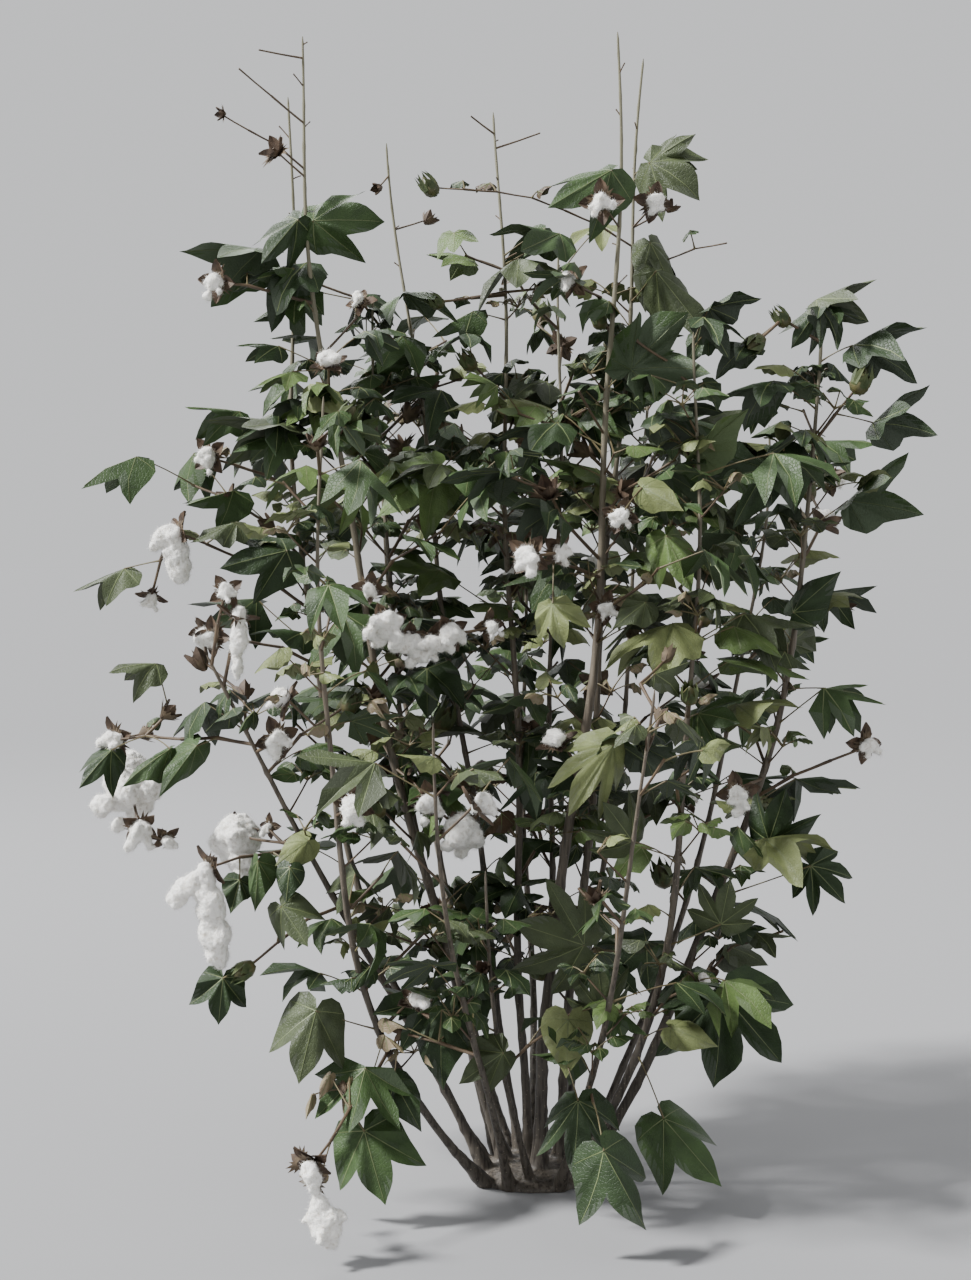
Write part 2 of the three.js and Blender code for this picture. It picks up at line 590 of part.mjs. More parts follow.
// The bare lower limb of a stem, and the stretches of it that carry its masses of foliage.
function placeStem(stem) {
  stem.bough = { name: `bough_${stem.name}`, pieces: [] };
  const starts = Object.entries(stem.masses);
  const [first] = starts.map(([, from]) => from);
  hold(stem.bough, solid(stemStretch(stem, STUB.top + JOINT_GAP, first - JOINT_GAP, STEM.boughSides)));
  starts.forEach(([level, from], index) => {
    const to = index + 1 < starts.length ? starts[index + 1][1] - JOINT_GAP : stem.tip[2];
    const mass = { name: `foliage_${stem.name}_${level}`, stem, from, to, pieces: [] };
    hold(mass, solid(stemStretch(stem, from, to, STEM.massSides)));
    masses.push(mass);
  });
}

function stemGroup(stem) {
  const group = new THREE.Group();
  group.add(nodeMesh(stem.bough.name, stem.bough.pieces, stemPoint(stem, STUB.top), BARK));
  for (const mass of masses.filter((one) => one.stem === stem)) {
    group.add(nodeMesh(mass.name, mass.pieces, stemPoint(stem, mass.from), FOLIAGE));
  }
  return group;
}

const plant = new THREE.Group();
plant.add(rootCrown());
stems.forEach(placeStem);
SEEN_FRUIT.forEach(growSeenFruit);
SEEN_TWIGS.forEach(growSeenTwig);
SEEN_LEAVES.forEach(growSeenLeaf);
masses.forEach(growMass);
plant.add(...stems.map(stemGroup));

export default plant;
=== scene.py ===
"""Cotton plant late in its season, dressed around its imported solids.

Sizes are in millimetres until a mesh is made: +X is to the right, +Y away from the viewer, +Z up.
The stems, branches, leaves and fruit follow the growing rule of the solids, with every choice drawn
from the same keys, and are carried on to more leaves and finer twigs within the same reach.
"""

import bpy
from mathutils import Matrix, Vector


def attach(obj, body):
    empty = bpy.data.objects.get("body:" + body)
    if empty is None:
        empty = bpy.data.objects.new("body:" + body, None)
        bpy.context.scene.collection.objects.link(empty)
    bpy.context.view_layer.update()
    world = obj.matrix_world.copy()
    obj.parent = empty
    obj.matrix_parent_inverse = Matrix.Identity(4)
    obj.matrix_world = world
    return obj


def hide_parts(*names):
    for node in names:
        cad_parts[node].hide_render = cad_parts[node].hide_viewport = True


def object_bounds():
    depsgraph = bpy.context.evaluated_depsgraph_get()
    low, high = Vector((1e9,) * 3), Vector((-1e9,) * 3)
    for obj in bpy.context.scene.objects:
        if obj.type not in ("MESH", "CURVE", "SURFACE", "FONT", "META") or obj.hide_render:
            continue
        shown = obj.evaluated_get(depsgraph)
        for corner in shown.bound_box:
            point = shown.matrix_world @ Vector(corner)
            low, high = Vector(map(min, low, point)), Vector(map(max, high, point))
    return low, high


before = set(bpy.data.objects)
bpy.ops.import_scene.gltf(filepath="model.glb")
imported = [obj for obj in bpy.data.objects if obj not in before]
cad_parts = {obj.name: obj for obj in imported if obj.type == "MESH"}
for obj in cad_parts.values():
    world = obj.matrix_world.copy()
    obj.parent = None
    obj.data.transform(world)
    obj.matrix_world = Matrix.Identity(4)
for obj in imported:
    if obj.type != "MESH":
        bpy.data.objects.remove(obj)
CAD_BOX = [list(corner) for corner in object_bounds()]

import logging
import math
from collections.abc import Callable
from dataclasses import dataclass
from dataclasses import field
from dataclasses import replace
from enum import Enum
from enum import IntEnum
from functools import cached_property
from itertools import pairwise

import bpy
import numpy as np
from mathutils import Vector
from mathutils import noise

LOG = logging.getLogger("cotton_plant")
MM = 0.001
SEED = 41
WORD = 0xFFFFFFFF
STEP_FACTOR = 0x9E3779B1
LAST_FACTOR = 0x85EBCA6B
UP = np.array([0.0, 0.0, 1.0])
UNDERSIDE = "underside"
SEEN_FRUIT_KEY = 201
SEEN_LEAF_KEY = 202
SEEN_TWIG_KEY = 203

Point = np.ndarray
Points = np.ndarray
Faces = list[tuple[int, ...]]
Shape = tuple[Points, Faces]
Pair = tuple[float, float]
Triple = tuple[float, float, float]
Colour = Triple
Keys = tuple[int, ...]
Piece = bpy.types.Object
Material = bpy.types.Material


class Slot(Enum):
    """The material slots."""

    BARK = "bark"
    FOLIAGE = "foliage"
    LINT = "lint"
    HUSK = "husk"


class FruitKind(Enum):
    """What a fruit has become by this time of the season."""

    OPEN = "open"
    STRAND = "strand"
    RIBBON = "ribbon"
    TASSEL = "tassel"
    CLOSED = "closed"
    DRY = "dry"


class Facing(Enum):
    """Which way the upper face of a leaf that stands out looks."""

    UP = (0.0, -0.25, 1.0)
    AWAY = (0.0, 0.3, 1.0)
    FRONT = (0.0, -1.0, 0.35)
    BACK = (0.0, 0.8, 0.6)


class Choice(IntEnum):
    """What a draw is for, so that no two choices at one joint share a number."""

    STRAY = 1
    BRANCH = 2
    LEAF = 3
    SHOOT = 4
    DROP_TURN = 5
    DROP_LENGTH = 6
    SPUR = 7
    LEAF_SIZE = 11
    STALK_LENGTH = 12
    STALK_SLOPE = 13
    HANG = 14
    BLADE_TURN = 15
    ROLL = 16
    JOINTS = 21
    STEP = 22
    BRANCH_LEAF = 31
    FRUIT = 32
    FRUIT_SIZE = 33
    FRUIT_KIND = 34
    TINT = 41
    FORM = 42
    FOLD = 43
    DROOP = 44
    RIPPLE = 45
    CURL = 46
    SPREAD = 51
    LUMP = 52
    TILT = 54
    LOCK = 60
    DROP = 70
    ROPE = 80
    SIDE_LOCK = 90


def between(low: float, high: float, share: float) -> float:
    """The value a share of the way from low to high."""
    return low + (high - low) * share


def clamp(value: float, low: float = 0.0, high: float = 1.0) -> float:
    """The value, kept from low to high."""
    return min(max(value, low), high)


def draw(*keys: int) -> float:
    """Mix keys into a number that is always the same for them, as the solids' rule does.

    Args:
        *keys: whole numbers that name one choice.

    Returns:
        A number from 0 to 1.
    """
    mixed = SEED
    for key in keys:
        mixed = ((mixed ^ key) * STEP_FACTOR) & WORD
        mixed ^= mixed >> 15
    mixed = ((mixed ^ (mixed >> 13)) * LAST_FACTOR) & WORD
    return (mixed ^ (mixed >> 16)) / 2**32


def pick(keys: Keys, choice: Choice, low: float, high: float) -> float:
    """A number from low to high that the keys and the choice decide."""
    return between(low, high, draw(*keys, choice))


def length_of(vector: Point) -> float:
    """How long a vector is."""
    return float(np.linalg.norm(vector))


def unit(vector: Point) -> Point:
    """The vector at length 1."""
    return vector / max(length_of(vector), 1e-9)


def heading(turn: float, rise: float) -> Point:
    """The unit direction of a compass turn and a rise above level, both in degrees."""
    turn, rise = math.radians(turn), math.radians(rise)
    return np.array([math.cos(rise) * math.cos(turn), math.cos(rise) * math.sin(turn), math.sin(rise)])


def square_to(way: Point) -> Point:
    """A unit direction square to a way."""
    level = np.array([1.0, 0.0, 0.0]) if abs(way[1]) > 0.9 else np.array([0.0, 1.0, 0.0])
    return unit(np.cross(way, level))


def roughly(place: Point, scale: float) -> float:
    """Smooth noise from -1 to 1 at a place, with features of about the scale."""
    return noise.noise(Vector(tuple(place / scale)))


def turned(points: Points, around: float) -> Points:
    """Points turned about the Z axis by an angle in radians."""
    cos, sin = math.cos(around), math.sin(around)
    return points @ np.array([[cos, sin, 0], [-sin, cos, 0], [0, 0, 1]])


# Meshes from arrays


@dataclass
class MeshBag:
    """Many small shapes that become one joined mesh."""

    points: list[Points] = field(default_factory=list)
    faces: Faces = field(default_factory=list)
    count: int = 0
    under: list[float] = field(default_factory=list)

    def add_sheet(self, shape: Shape) -> None:
        """Put a closed thin sheet in the bag.

        Args:
            shape: the sheet, the second half of its faces its underside, which is marked.
        """
        half = len(shape[1]) // 2
        self.under += [0.0] * half + [1.0] * half
        self.add(shape)

    def add(self, shape: Shape) -> None:
        """Put a shape in the bag.

        Args:
            shape: its points in millimetres and its faces as rows of point numbers.
        """
        points, faces = shape
        start = self.count
        self.points.append(points)
        self.faces.extend(tuple(start + corner for corner in face) for face in faces)
        self.count += len(points)

    def piece(self, name: str, sharp: float = 40.0) -> Piece:
        """Make the joined mesh.

        Args:
            name: the piece's name.
            sharp: the angle in degrees over which an edge stays sharp.

        Returns:
            The piece, in metres, with its place in its mesh.
        """
        mesh = bpy.data.meshes.new(name)
        mesh.from_pydata((np.concatenate(self.points) * MM).tolist(), [], self.faces)
        mesh.update()
        if self.under:
            mesh.attributes.new(UNDERSIDE, "FLOAT", "FACE").data.foreach_set("value", self.under)
        made = bpy.data.objects.new(name, mesh)
        bpy.context.collection.objects.link(made)
        select_only(made)
        bpy.ops.object.shade_smooth_by_angle(angle=math.radians(sharp))
        return made


def select_only(piece: Piece) -> None:
    """Select a piece alone and make it active.

    Args:
        piece: the piece.
    """
    bpy.ops.object.select_all(action="DESELECT")
    piece.select_set(True)
    bpy.context.view_layer.objects.active = piece


def merge_skin(piece: Piece, grain: float, rounds: int) -> None:
    """Merge all the shapes of a piece into one even, eased skin.

    Args:
        piece: the piece.
        grain: the width of the skin's faces.
        rounds: how often the skin is eased.
    """
    select_only(piece)
    skin = piece.modifiers.new("skin", "REMESH")
    skin.mode = "VOXEL"
    skin.voxel_size = grain * MM
    skin.use_smooth_shade = True
    bpy.ops.object.modifier_apply(modifier=skin.name)
    ease = piece.modifiers.new("ease", "SMOOTH")
    ease.factor = 0.6
    ease.iterations = rounds
    bpy.ops.object.modifier_apply(modifier=ease.name)


def rows_of(piece: Piece, what: str) -> Points:
    """Read what a piece holds for each of its points.

    Args:
        piece: the piece.
        what: the name of three numbers that each point has.

    Returns:
        One row a point.
    """
    rows = np.empty(len(piece.data.vertices) * 3)
    piece.data.vertices.foreach_get(what, rows)
    return rows.reshape(-1, 3)


def raise_skin(piece: Piece, lift: Callable[[Point], float]) -> None:
    """Move each point of a piece along its normal.

    Args:
        piece: the piece.
        lift: how far, in millimetres, at a place in millimetres.
    """
    places = rows_of(piece, "co")
    lifts = np.array([lift(place / MM) for place in places])
    moved = places + rows_of(piece, "normal") * lifts[:, None] * MM
    piece.data.vertices.foreach_set("co", moved.ravel())
    piece.data.update()


def tube(points: Points, radii: Points, sides: int) -> Shape:
    """A closed limb through a line of points.

    Args:
        points: the line, one row a ring.
        radii: a radius for each ring, or a row of radii round it.
        sides: the number of points in a ring.

    Returns:
        The limb's shape, its faces outwards.
    """
    ways = np.gradient(points, axis=0)
    side = square_to(unit(ways[0]))
    angles = np.arange(sides) * math.tau / sides
    rings = []
    for point, way, radius in zip(points, ways, radii):
        way = unit(way)
        side = unit(side - way * side.dot(way))
        out = np.cross(way, side)
        ring = np.outer(np.cos(angles) * radius, side) + np.outer(np.sin(angles) * radius, out)
        rings.append(point + ring)
    last = (len(points) - 1) * sides
    faces: Faces = [tuple(range(sides - 1, -1, -1)), tuple(range(last, last + sides))]
    for ring in range(0, last, sides):
        for one, two in ((i, (i + 1) % sides) for i in range(sides)):
            faces.append((ring + one, ring + two, ring + sides + two, ring + sides + one))
    return np.concatenate(rings), faces


def curve(start: Point, end: Point, sag: float, steps: int) -> Points:
    """A line of points that bends.

    Args:
        start: its first point.
        end: its last point.
        sag: how far its middle is pulled up, less than 0 for down.
        steps: the number of its stretches.

    Returns:
        The points, one a row.
    """
    middle = (start + end) / 2
    middle[2] += sag
    shares = np.linspace(0, 1, steps + 1)[:, None]
    return (1 - shares) ** 2 * start + 2 * shares * (1 - shares) * middle + shares**2 * end


def sheet_shell(upper: Points, under: Points, faces: Faces, rim: list[int]) -> Shape:
    """Close a thin sheet by a copy of it underneath that shares its rim.

    Args:
        upper: the points of the upper face.
        under: the same points lowered by the thickness.
        faces: the upper face's faces, seen from above.
        rim: the numbers of the points that both faces share.

    Returns:
        The closed shell.
    """
    shared = set(rim)
    inner = [i for i in range(len(upper)) if i not in shared]
    lower = {i: len(upper) + place for place, i in enumerate(inner)}
    below = [tuple(lower.get(corner, corner) for corner in reversed(face)) for face in faces]
    return np.concatenate([upper, under[inner]]), faces + below


# The stems and the growing rule


@dataclass(frozen=True)
class Stem:
    """One stem of the clump.

    It leans out by its sweep from its upright height on, has its two widths at its foot and its tip,
    and bears a mass of foliage from each height in masses. Its index is a key of every draw on it.
    """

    index: int
    name: str
    foot: Pair
    tip: Triple
    sweep: float
    wide: Pair
    masses: dict[str, float]
    upright: float = 0.0

    SWAY = 5.0
    SWAY_LENGTH = 190.0
    PHASE = 2.4
    GAP = 0.3

    def point(self, height: float) -> Point:
        """Follow the stem, which leans out by its sweep and sways all the way.

        Args:
            height: the height.

        Returns:
            Its middle there.
        """
        share = clamp((height - self.upright) / (self.tip[2] - self.upright))
        lean = 1 - (1 - share) ** self.sweep
        sway = self.SWAY * clamp(height / self.SWAY_LENGTH, 0, 1)
        phase = self.index * self.PHASE
        right = between(self.foot[0], self.tip[0], lean)
        back = between(self.foot[1], self.tip[1], lean)
        right += sway * math.sin(2 * height / self.SWAY_LENGTH + phase)
        back += sway * math.sin(3 * height / self.SWAY_LENGTH + 2 * phase)
        return np.array([right, back, height])

    def radius(self, height: float) -> float:
        """The stem's radius at a height."""
        return between(self.wide[0], self.wide[1], height / self.tip[2]) / 2

    def spans(self) -> list[Pair]:
        """The heights from and to which each of its masses reaches."""
        starts = list(self.masses.values())
        return list(zip(starts, [start - self.GAP for start in starts[1:]] + [self.tip[2]]))

    def nodes(self) -> list[str]:
        """The names of its solids."""
        return [f"bough_{self.name}"] + [f"foliage_{self.name}_{level}" for level in self.masses]


STEMS = [
    Stem(index, *row)
    for index, row in enumerate([
        ("far_left", (-58, -18), (-420, -120, 705), 1.0, (13, 4), {"low": 170, "top": 430}),
        ("left_front", (-62, -50), (-265, -190, 1025), 4.2, (11, 3), {"low": 160, "top": 560}),
        ("left_tall", (-34, 4), (-310, 30, 1508), 1.7, (15, 3), {"low": 200, "middle": 640, "top": 1060}),
        ("left_back", (-62, 22), (-330, 110, 1445), 3.5, (12, 3), {"low": 190, "middle": 620, "top": 1050}),
        ("left_mid", (-16, 38), (-200, 200, 1400), 1.1, (11, 3), {"low": 210, "top": 780}),
        ("left_inner", (-46, 44), (-215, 120, 1180), 2.2, (10, 3), {"low": 200, "top": 700}),
        ("centre_left", (-8, 8), (-50, 130, 1430), 1.0, (12, 3), {"low": 220, "top": 800}),
        ("centre_back", (14, 38), (45, 260, 1285), 1.0, (11, 3), {"low": 210, "top": 740}),
        ("centre_tall", (6, -30), (105, -40, 1495), 2.3, (17, 3),
            {"low": 220, "middle": 660, "top": 1080}, 190),
        ("centre_right", (32, 6), (145, 40, 1480), 1.1, (13, 3), {"low": 210, "middle": 650, "top": 1070}),
        ("right_inner", (48, -40), (200, -110, 1110), 4.2, (12, 3), {"low": 170, "top": 600}),
        ("far_right", (66, -6), (370, -20, 1135), 2.2, (14, 4), {"low": 190, "top": 640}),
        ("rear_left", (-30, 70), (-235, 400, 1150), 1.8, (11, 3), {"low": 180, "top": 640}),
        ("rear_centre", (2, 68), (-10, 430, 1060), 1.6, (11, 3), {"low": 180, "top": 620}),
        ("rear_right", (36, 56), (180, 390, 1180), 1.7, (11, 3), {"low": 180, "top": 650}),
        ("rear_far_right", (66, 34), (340, 250, 1010), 1.9, (11, 3), {"low": 180, "top": 580}),
        ("front_left", (-32, -66), (-130, -320, 640), 1.5, (10, 3), {"whole": 150}),
        ("front_short", (-4, -58), (-70, -175, 440), 1.5, (8, 3), {"whole": 140}),
        ("front_right", (32, -68), (130, -330, 680), 1.4, (10, 3), {"whole": 150}),
    ])
]


@dataclass(frozen=True)
class SeenFruit:
    """A fruit that shows from a step away, its size that of what hangs and its rise its twig's."""

    stem: str
    kind: FruitKind
    centre: Point
    size: float
    rise: float

    @classmethod
    def read(cls, row: str) -> "SeenFruit":
        """The fruit of a row, which has its attributes in their order."""
        stem, kind, *sizes = row.split()
        return cls(stem, FruitKind(kind), np.array(sizes[:3], float), float(sizes[3]), float(sizes[4]))


@dataclass(frozen=True)
class SeenLeaf:
    """A leaf that stands out: its foot, the way to its tip, its fold, and its tint and lobes."""

    stem: str
    foot: Point
    way: Point
    fold: float
    facing: Facing
    look: str

    @classmethod
    def read(cls, row: str) -> "SeenLeaf":
        """The leaf of a row, which has its attributes in their order."""
        stem, *sizes, fold, facing, look = row.split(maxsplit=9)
        return cls(stem, *np.array(sizes, float).reshape(2, 3), float(fold), Facing[facing.upper()], look)


SEEN_FRUIT = [SeenFruit.read(row) for row in """
left_back strand -478 0 862 64 110
left_back open -512 30 767 28 60
far_left ribbon -373 -130 764 88 100
far_left open -325 -140 600 40 20
left_back open -440 60 715 36 40
far_left open -550 -60 590 42 0
far_left open -548 30 525 92 -30
far_left open -520 -20 465 46 -20
far_left open -400 40 450 84 -10
far_left strand -415 -170 442 122 -10
far_left closed -365 -170 315 30 -60
left_front open -225 -235 530 46 20
left_tall open -137 -40 505 46 -40
left_tall open -97 -30 468 64 -60
left_tall open -192 -90 742 54 20
left_tall open -160 -85 716 44 10
left_tall open -133 -80 716 42 10
left_tall open -108 -80 728 40 10
left_tall open -215 -50 785 30 20
left_back open -440 60 960 38 45
left_tall open -420 0 1185 36 25
left_tall dry -340 -10 1355 34 30
left_tall dry -405 -30 1395 18 60
left_mid dry -215 180 1335 22 -20
left_mid dry -145 230 1300 26 20
centre_left closed -140 110 1325 30 5
centre_left closed -130 60 1165 24 -15
centre_tall open 80 -90 1275 36 25
centre_right open 155 -20 1285 34 25
centre_right dry 180 20 1285 24 25
far_right closed 320 -20 1135 26 30
far_right closed 280 -60 1100 32 100
far_right closed 415 -60 1050 34 75
far_right open 430 -70 585 34 75
far_right open 255 -110 525 40 -10
centre_tall open -15 -180 830 42 30
centre_tall open 30 -150 835 32 25
centre_right open 105 -120 880 32 25
right_inner closed 185 -190 660 28 35
left_front tassel -272 -330 116 92 -85
left_front dry -268 -300 92 28 -60
left_front dry -290 -245 96 26 -60
far_left dry -474 -60 627 32 20
far_left dry -507 -40 597 28 10
left_back open -453 120 716 40 40
far_left open -353 -20 471 22 -10
left_mid open -57 -60 737 30 20
centre_back closed 12 80 1186 24 20
far_left open -390 -130 787 30 80
far_left open -484 -20 452 26 -20
front_left dry -173 -150 231 26 20
left_front dry -240 -200 172 24 10
""".split("\n")[1:-1]]

# Bare twig ends that stand against the sky: their stem, their end and how far they have risen.
SEEN_TWIGS = [
    ("left_tall", (-380, -40, 1450), 55),
    ("left_tall", (-360, 10, 1485), 5),
    ("centre_left", (-85, 110, 1420), 20),
    ("centre_left", (10, 150, 1405), 25),
    ("centre_right", (-95, -30, 1300), 65),
    ("centre_right", (250, 0, 1235), 35),
]

SEEN_LEAVES = [SeenLeaf.read(row) for row in """
left_tall -290 10 1265 95 -15 0 0.4 front mid 3
left_tall -310 0 1265 -45 -25 -60 0.7 front deep 3
left_back -365 60 1235 -105 -30 -5 0.5 away mid 3
left_back -303 50 1216 -105 -25 -30 0.6 away deep 3
left_mid -175 100 1180 40 -85 -5 0.45 up mid 3
left_tall -340 40 1105 -55 -20 5 0.6 up deep 3
left_mid -230 120 1075 90 -20 40 0.8 front mid 3
left_mid -125 100 1050 -70 -60 -15 0.5 up deep 3
left_back -395 60 1020 -70 -25 10 0.6 up mid 3
left_back -330 30 1005 -105 -30 5 0.5 away dull 3
left_tall -285 -10 1050 40 -35 -45 0.5 front pale 1
left_tall -320 20 1070 -45 -35 -15 0.4 up fresh 3
centre_left 35 90 1260 -95 -25 15 0.6 up mid 3
centre_left 15 80 1265 -30 -30 -40 0.5 front mid 1
centre_left -20 80 1225 -5 -105 -45 0.4 up dull 3
centre_back 95 150 1280 -50 -30 -30 0.3 up pale 3
centre_tall 95 -50 1320 -80 -35 -50 0.6 front mid 3
centre_right 155 20 1345 55 -20 35 0.75 front dull 3
centre_right 150 10 1340 70 -30 -45 0.35 front dull 3
centre_right 150 0 1235 30 -25 -65 0.6 front dull 3
centre_right 155 -30 1195 75 -40 -95 0.8 front dull 3
centre_tall 120 -80 1065 70 -20 80 0.35 back mid 3
centre_back 20 150 1065 -110 -25 15 0.6 away dull 3
right_inner 220 -60 1145 65 -15 20 0.6 away deep 1
right_inner 210 -90 1130 60 -25 -20 0.7 away deep 3
far_right 364 -20 1160 74 -20 30 0.8 away dull 3
far_right 367 -30 1150 57 -20 -20 0.6 away deep 5
far_right 365 -10 1145 -35 -20 -50 0.7 front deep 3
far_right 410 -30 1100 90 -30 35 0.85 away deep 3
far_right 435 -40 1000 65 -25 55 0.9 away deep 3
far_right 345 -60 990 -15 -80 -10 0.7 away deep 5
far_right 320 -50 960 15 -20 -80 0.15 front deep 1
far_right 355 -20 940 55 -15 10 0.6 up deep 3
far_right 415 20 900 75 -20 65 0.8 back mid 3
far_right 335 -40 755 60 -20 55 0.6 front deep 1
right_inner 205 -90 960 60 -20 60 0.7 back fresh 1
right_inner 295 -60 940 -85 -40 -15 0.4 front deep 3
right_inner 170 -120 745 -100 -40 -45 0.5 up pale 3
right_inner 250 -100 740 60 -40 -35 0.4 up fresh 1
right_inner 265 -80 755 90 -30 -15 0.6 up dull 3
far_right 255 -90 640 80 -50 10 0.3 up pale 1
far_right 380 -30 655 50 -30 10 0.5 up mid 3
right_inner 205 -110 630 45 -50 -5 0.4 front mid 3
centre_tall 95 -140 593 -60 -50 -75 0.8 front pale 5
centre_tall 130 -110 590 65 -30 -25 0.5 back deep 1
right_inner 120 -130 470 -40 -20 55 0.2 front dull 5
far_right 295 -80 465 95 -40 0 0.4 up pale 3
centre_tall 60 -120 335 -90 -30 35 0.2 front dull 5
right_inner 85 -120 250 -10 -20 65 0.35 front dull 5
right_inner 235 -120 275 -5 -30 -125 0.2 front deep 5
centre_tall 50 -190 155 -5 -50 -80 0.5 front deep 5
right_inner 160 -150 120 70 -40 -75 0.5 front mid 3
front_right 74 -320 134 50 -20 -90 0.7 front deep 3
left_front -275 -190 268 -20 -35 -82 0.35 front dull 3
front_left -215 -200 120 25 -30 -85 0.3 front mid 3
front_left -180 -170 175 35 -40 -50 0.4 front deep 1
front_short -120 -150 260 -5 -30 -100 0.4 front deep 1
far_left -395 -150 300 -5 -10 -60 0.3 front deep 3
far_left -350 -150 448 -3 -15 -64 0.8 front mid 1
far_left -310 -150 440 -5 -10 -45 0.3 front deep 1
far_left -320 -160 393 35 -25 -45 0.3 front dull 3
right_inner 235 -110 360 10 -10 60 0.2 front dull 5
right_inner 170 -140 234 58 -25 -20 0.6 front pale 1
centre_tall 40 -130 242 -3 -20 -72 0.15 front pale 1
left_back -545 20 810 -65 -25 -30 0.5 up dull 3
far_left -490 -60 690 -60 -20 -8 0.6 up dull 3
far_left -545 -80 580 -40 -30 -45 0.8 front deep 3
far_left -465 -110 585 -60 -40 -40 0.8 front mid 1
far_left -430 -120 590 -45 -30 -60 0.9 front mid 1
left_tall -300 -60 730 -70 -30 5 0.5 up deep 1
far_right 275 -40 1100 -60 -25 3 0.6 away deep 3
far_right 317 -50 1073 -42 -25 -6 0.4 up pale 1
far_right 305 -50 1053 -80 -25 -23 0.6 away deep 3
right_inner 218 -60 1117 -29 -25 -44 0.5 front deep 1
right_inner 152 -60 1010 90 -25 15 0.6 away deep 3
centre_tall 27 -40 1000 -88 -25 -13 0.6 away deep 3
centre_right 70 40 1025 62 -25 -37 0.5 front deep 3
centre_tall 88 0 1094 -42 -25 -36 0.5 front deep 1
left_back -330 20 990 -70 -25 -23 0.7 up mid 3
left_back -393 10 872 -62 -25 -18 0.7 up dull 1
left_back -328 10 834 -87 -25 -22 0.5 front deep 3
far_left -290 -120 469 -40 -25 -26 0.4 front pale 1
far_left -378 -110 417 -9 -25 -38 0.3 front deep 1
far_right 303 -60 459 18 -25 75 0.3 front deep 3
far_right 354 -80 430 44 -25 -42 0.5 front deep 5
right_inner 140 -130 389 -37 -25 -20 0.6 up pale 1
front_short -43 -160 207 -55 -25 -30 0.6 front dull 3
left_front -257 -200 190 -18 -30 -36 0.9 front dry 1
left_front -233 -200 184 -8 -30 -55 0.9 front dry 1
left_front -279 -210 168 -8 -30 -38 1.1 front dry 1
front_left -192 -150 249 45 -30 -12 0.9 up dry 1
front_left -192 -150 227 42 -30 -22 0.8 up dry 1
left_front -260 -285 98 -35 -30 -10 0.9 up dry 1
centre_tall 18 -160 772 10 -25 -56 0.5 front pale 3
left_mid -128 0 942 -82 -30 -60 0.6 front fresh 3
centre_right 129 -150 915 50 -25 -30 0.5 front pale 1
right_inner 160 -140 855 30 -25 -70 0.6 front fresh 3
centre_tall 135 -140 772 -44 -25 -28 0.5 front dull 1
""".split("\n")[1:-1]]


@dataclass(frozen=True)
class Leaf:
    """A leaf, with its fold in radians, its tint and its lobes where they are known."""

    root: Point
    foot: Point
    tip: Point
    facing: Point
    keys: Keys
    fold: float | None = None
    look: str = ""

    @property
    def length(self) -> float:
        """The length of the blade."""
        return length_of(self.tip - self.foot)


@dataclass(frozen=True)
class Twig:
    """A twig: a line of points and its radii at both ends."""

    points: Points
    radii: Pair


@dataclass(frozen=True)
class Fruit:
    """A fruit: what it is, its middle, its size, the way it came from and the keys of its choices."""

    kind: FruitKind
    centre: Point
    size: float
    way: Point
    keys: Keys


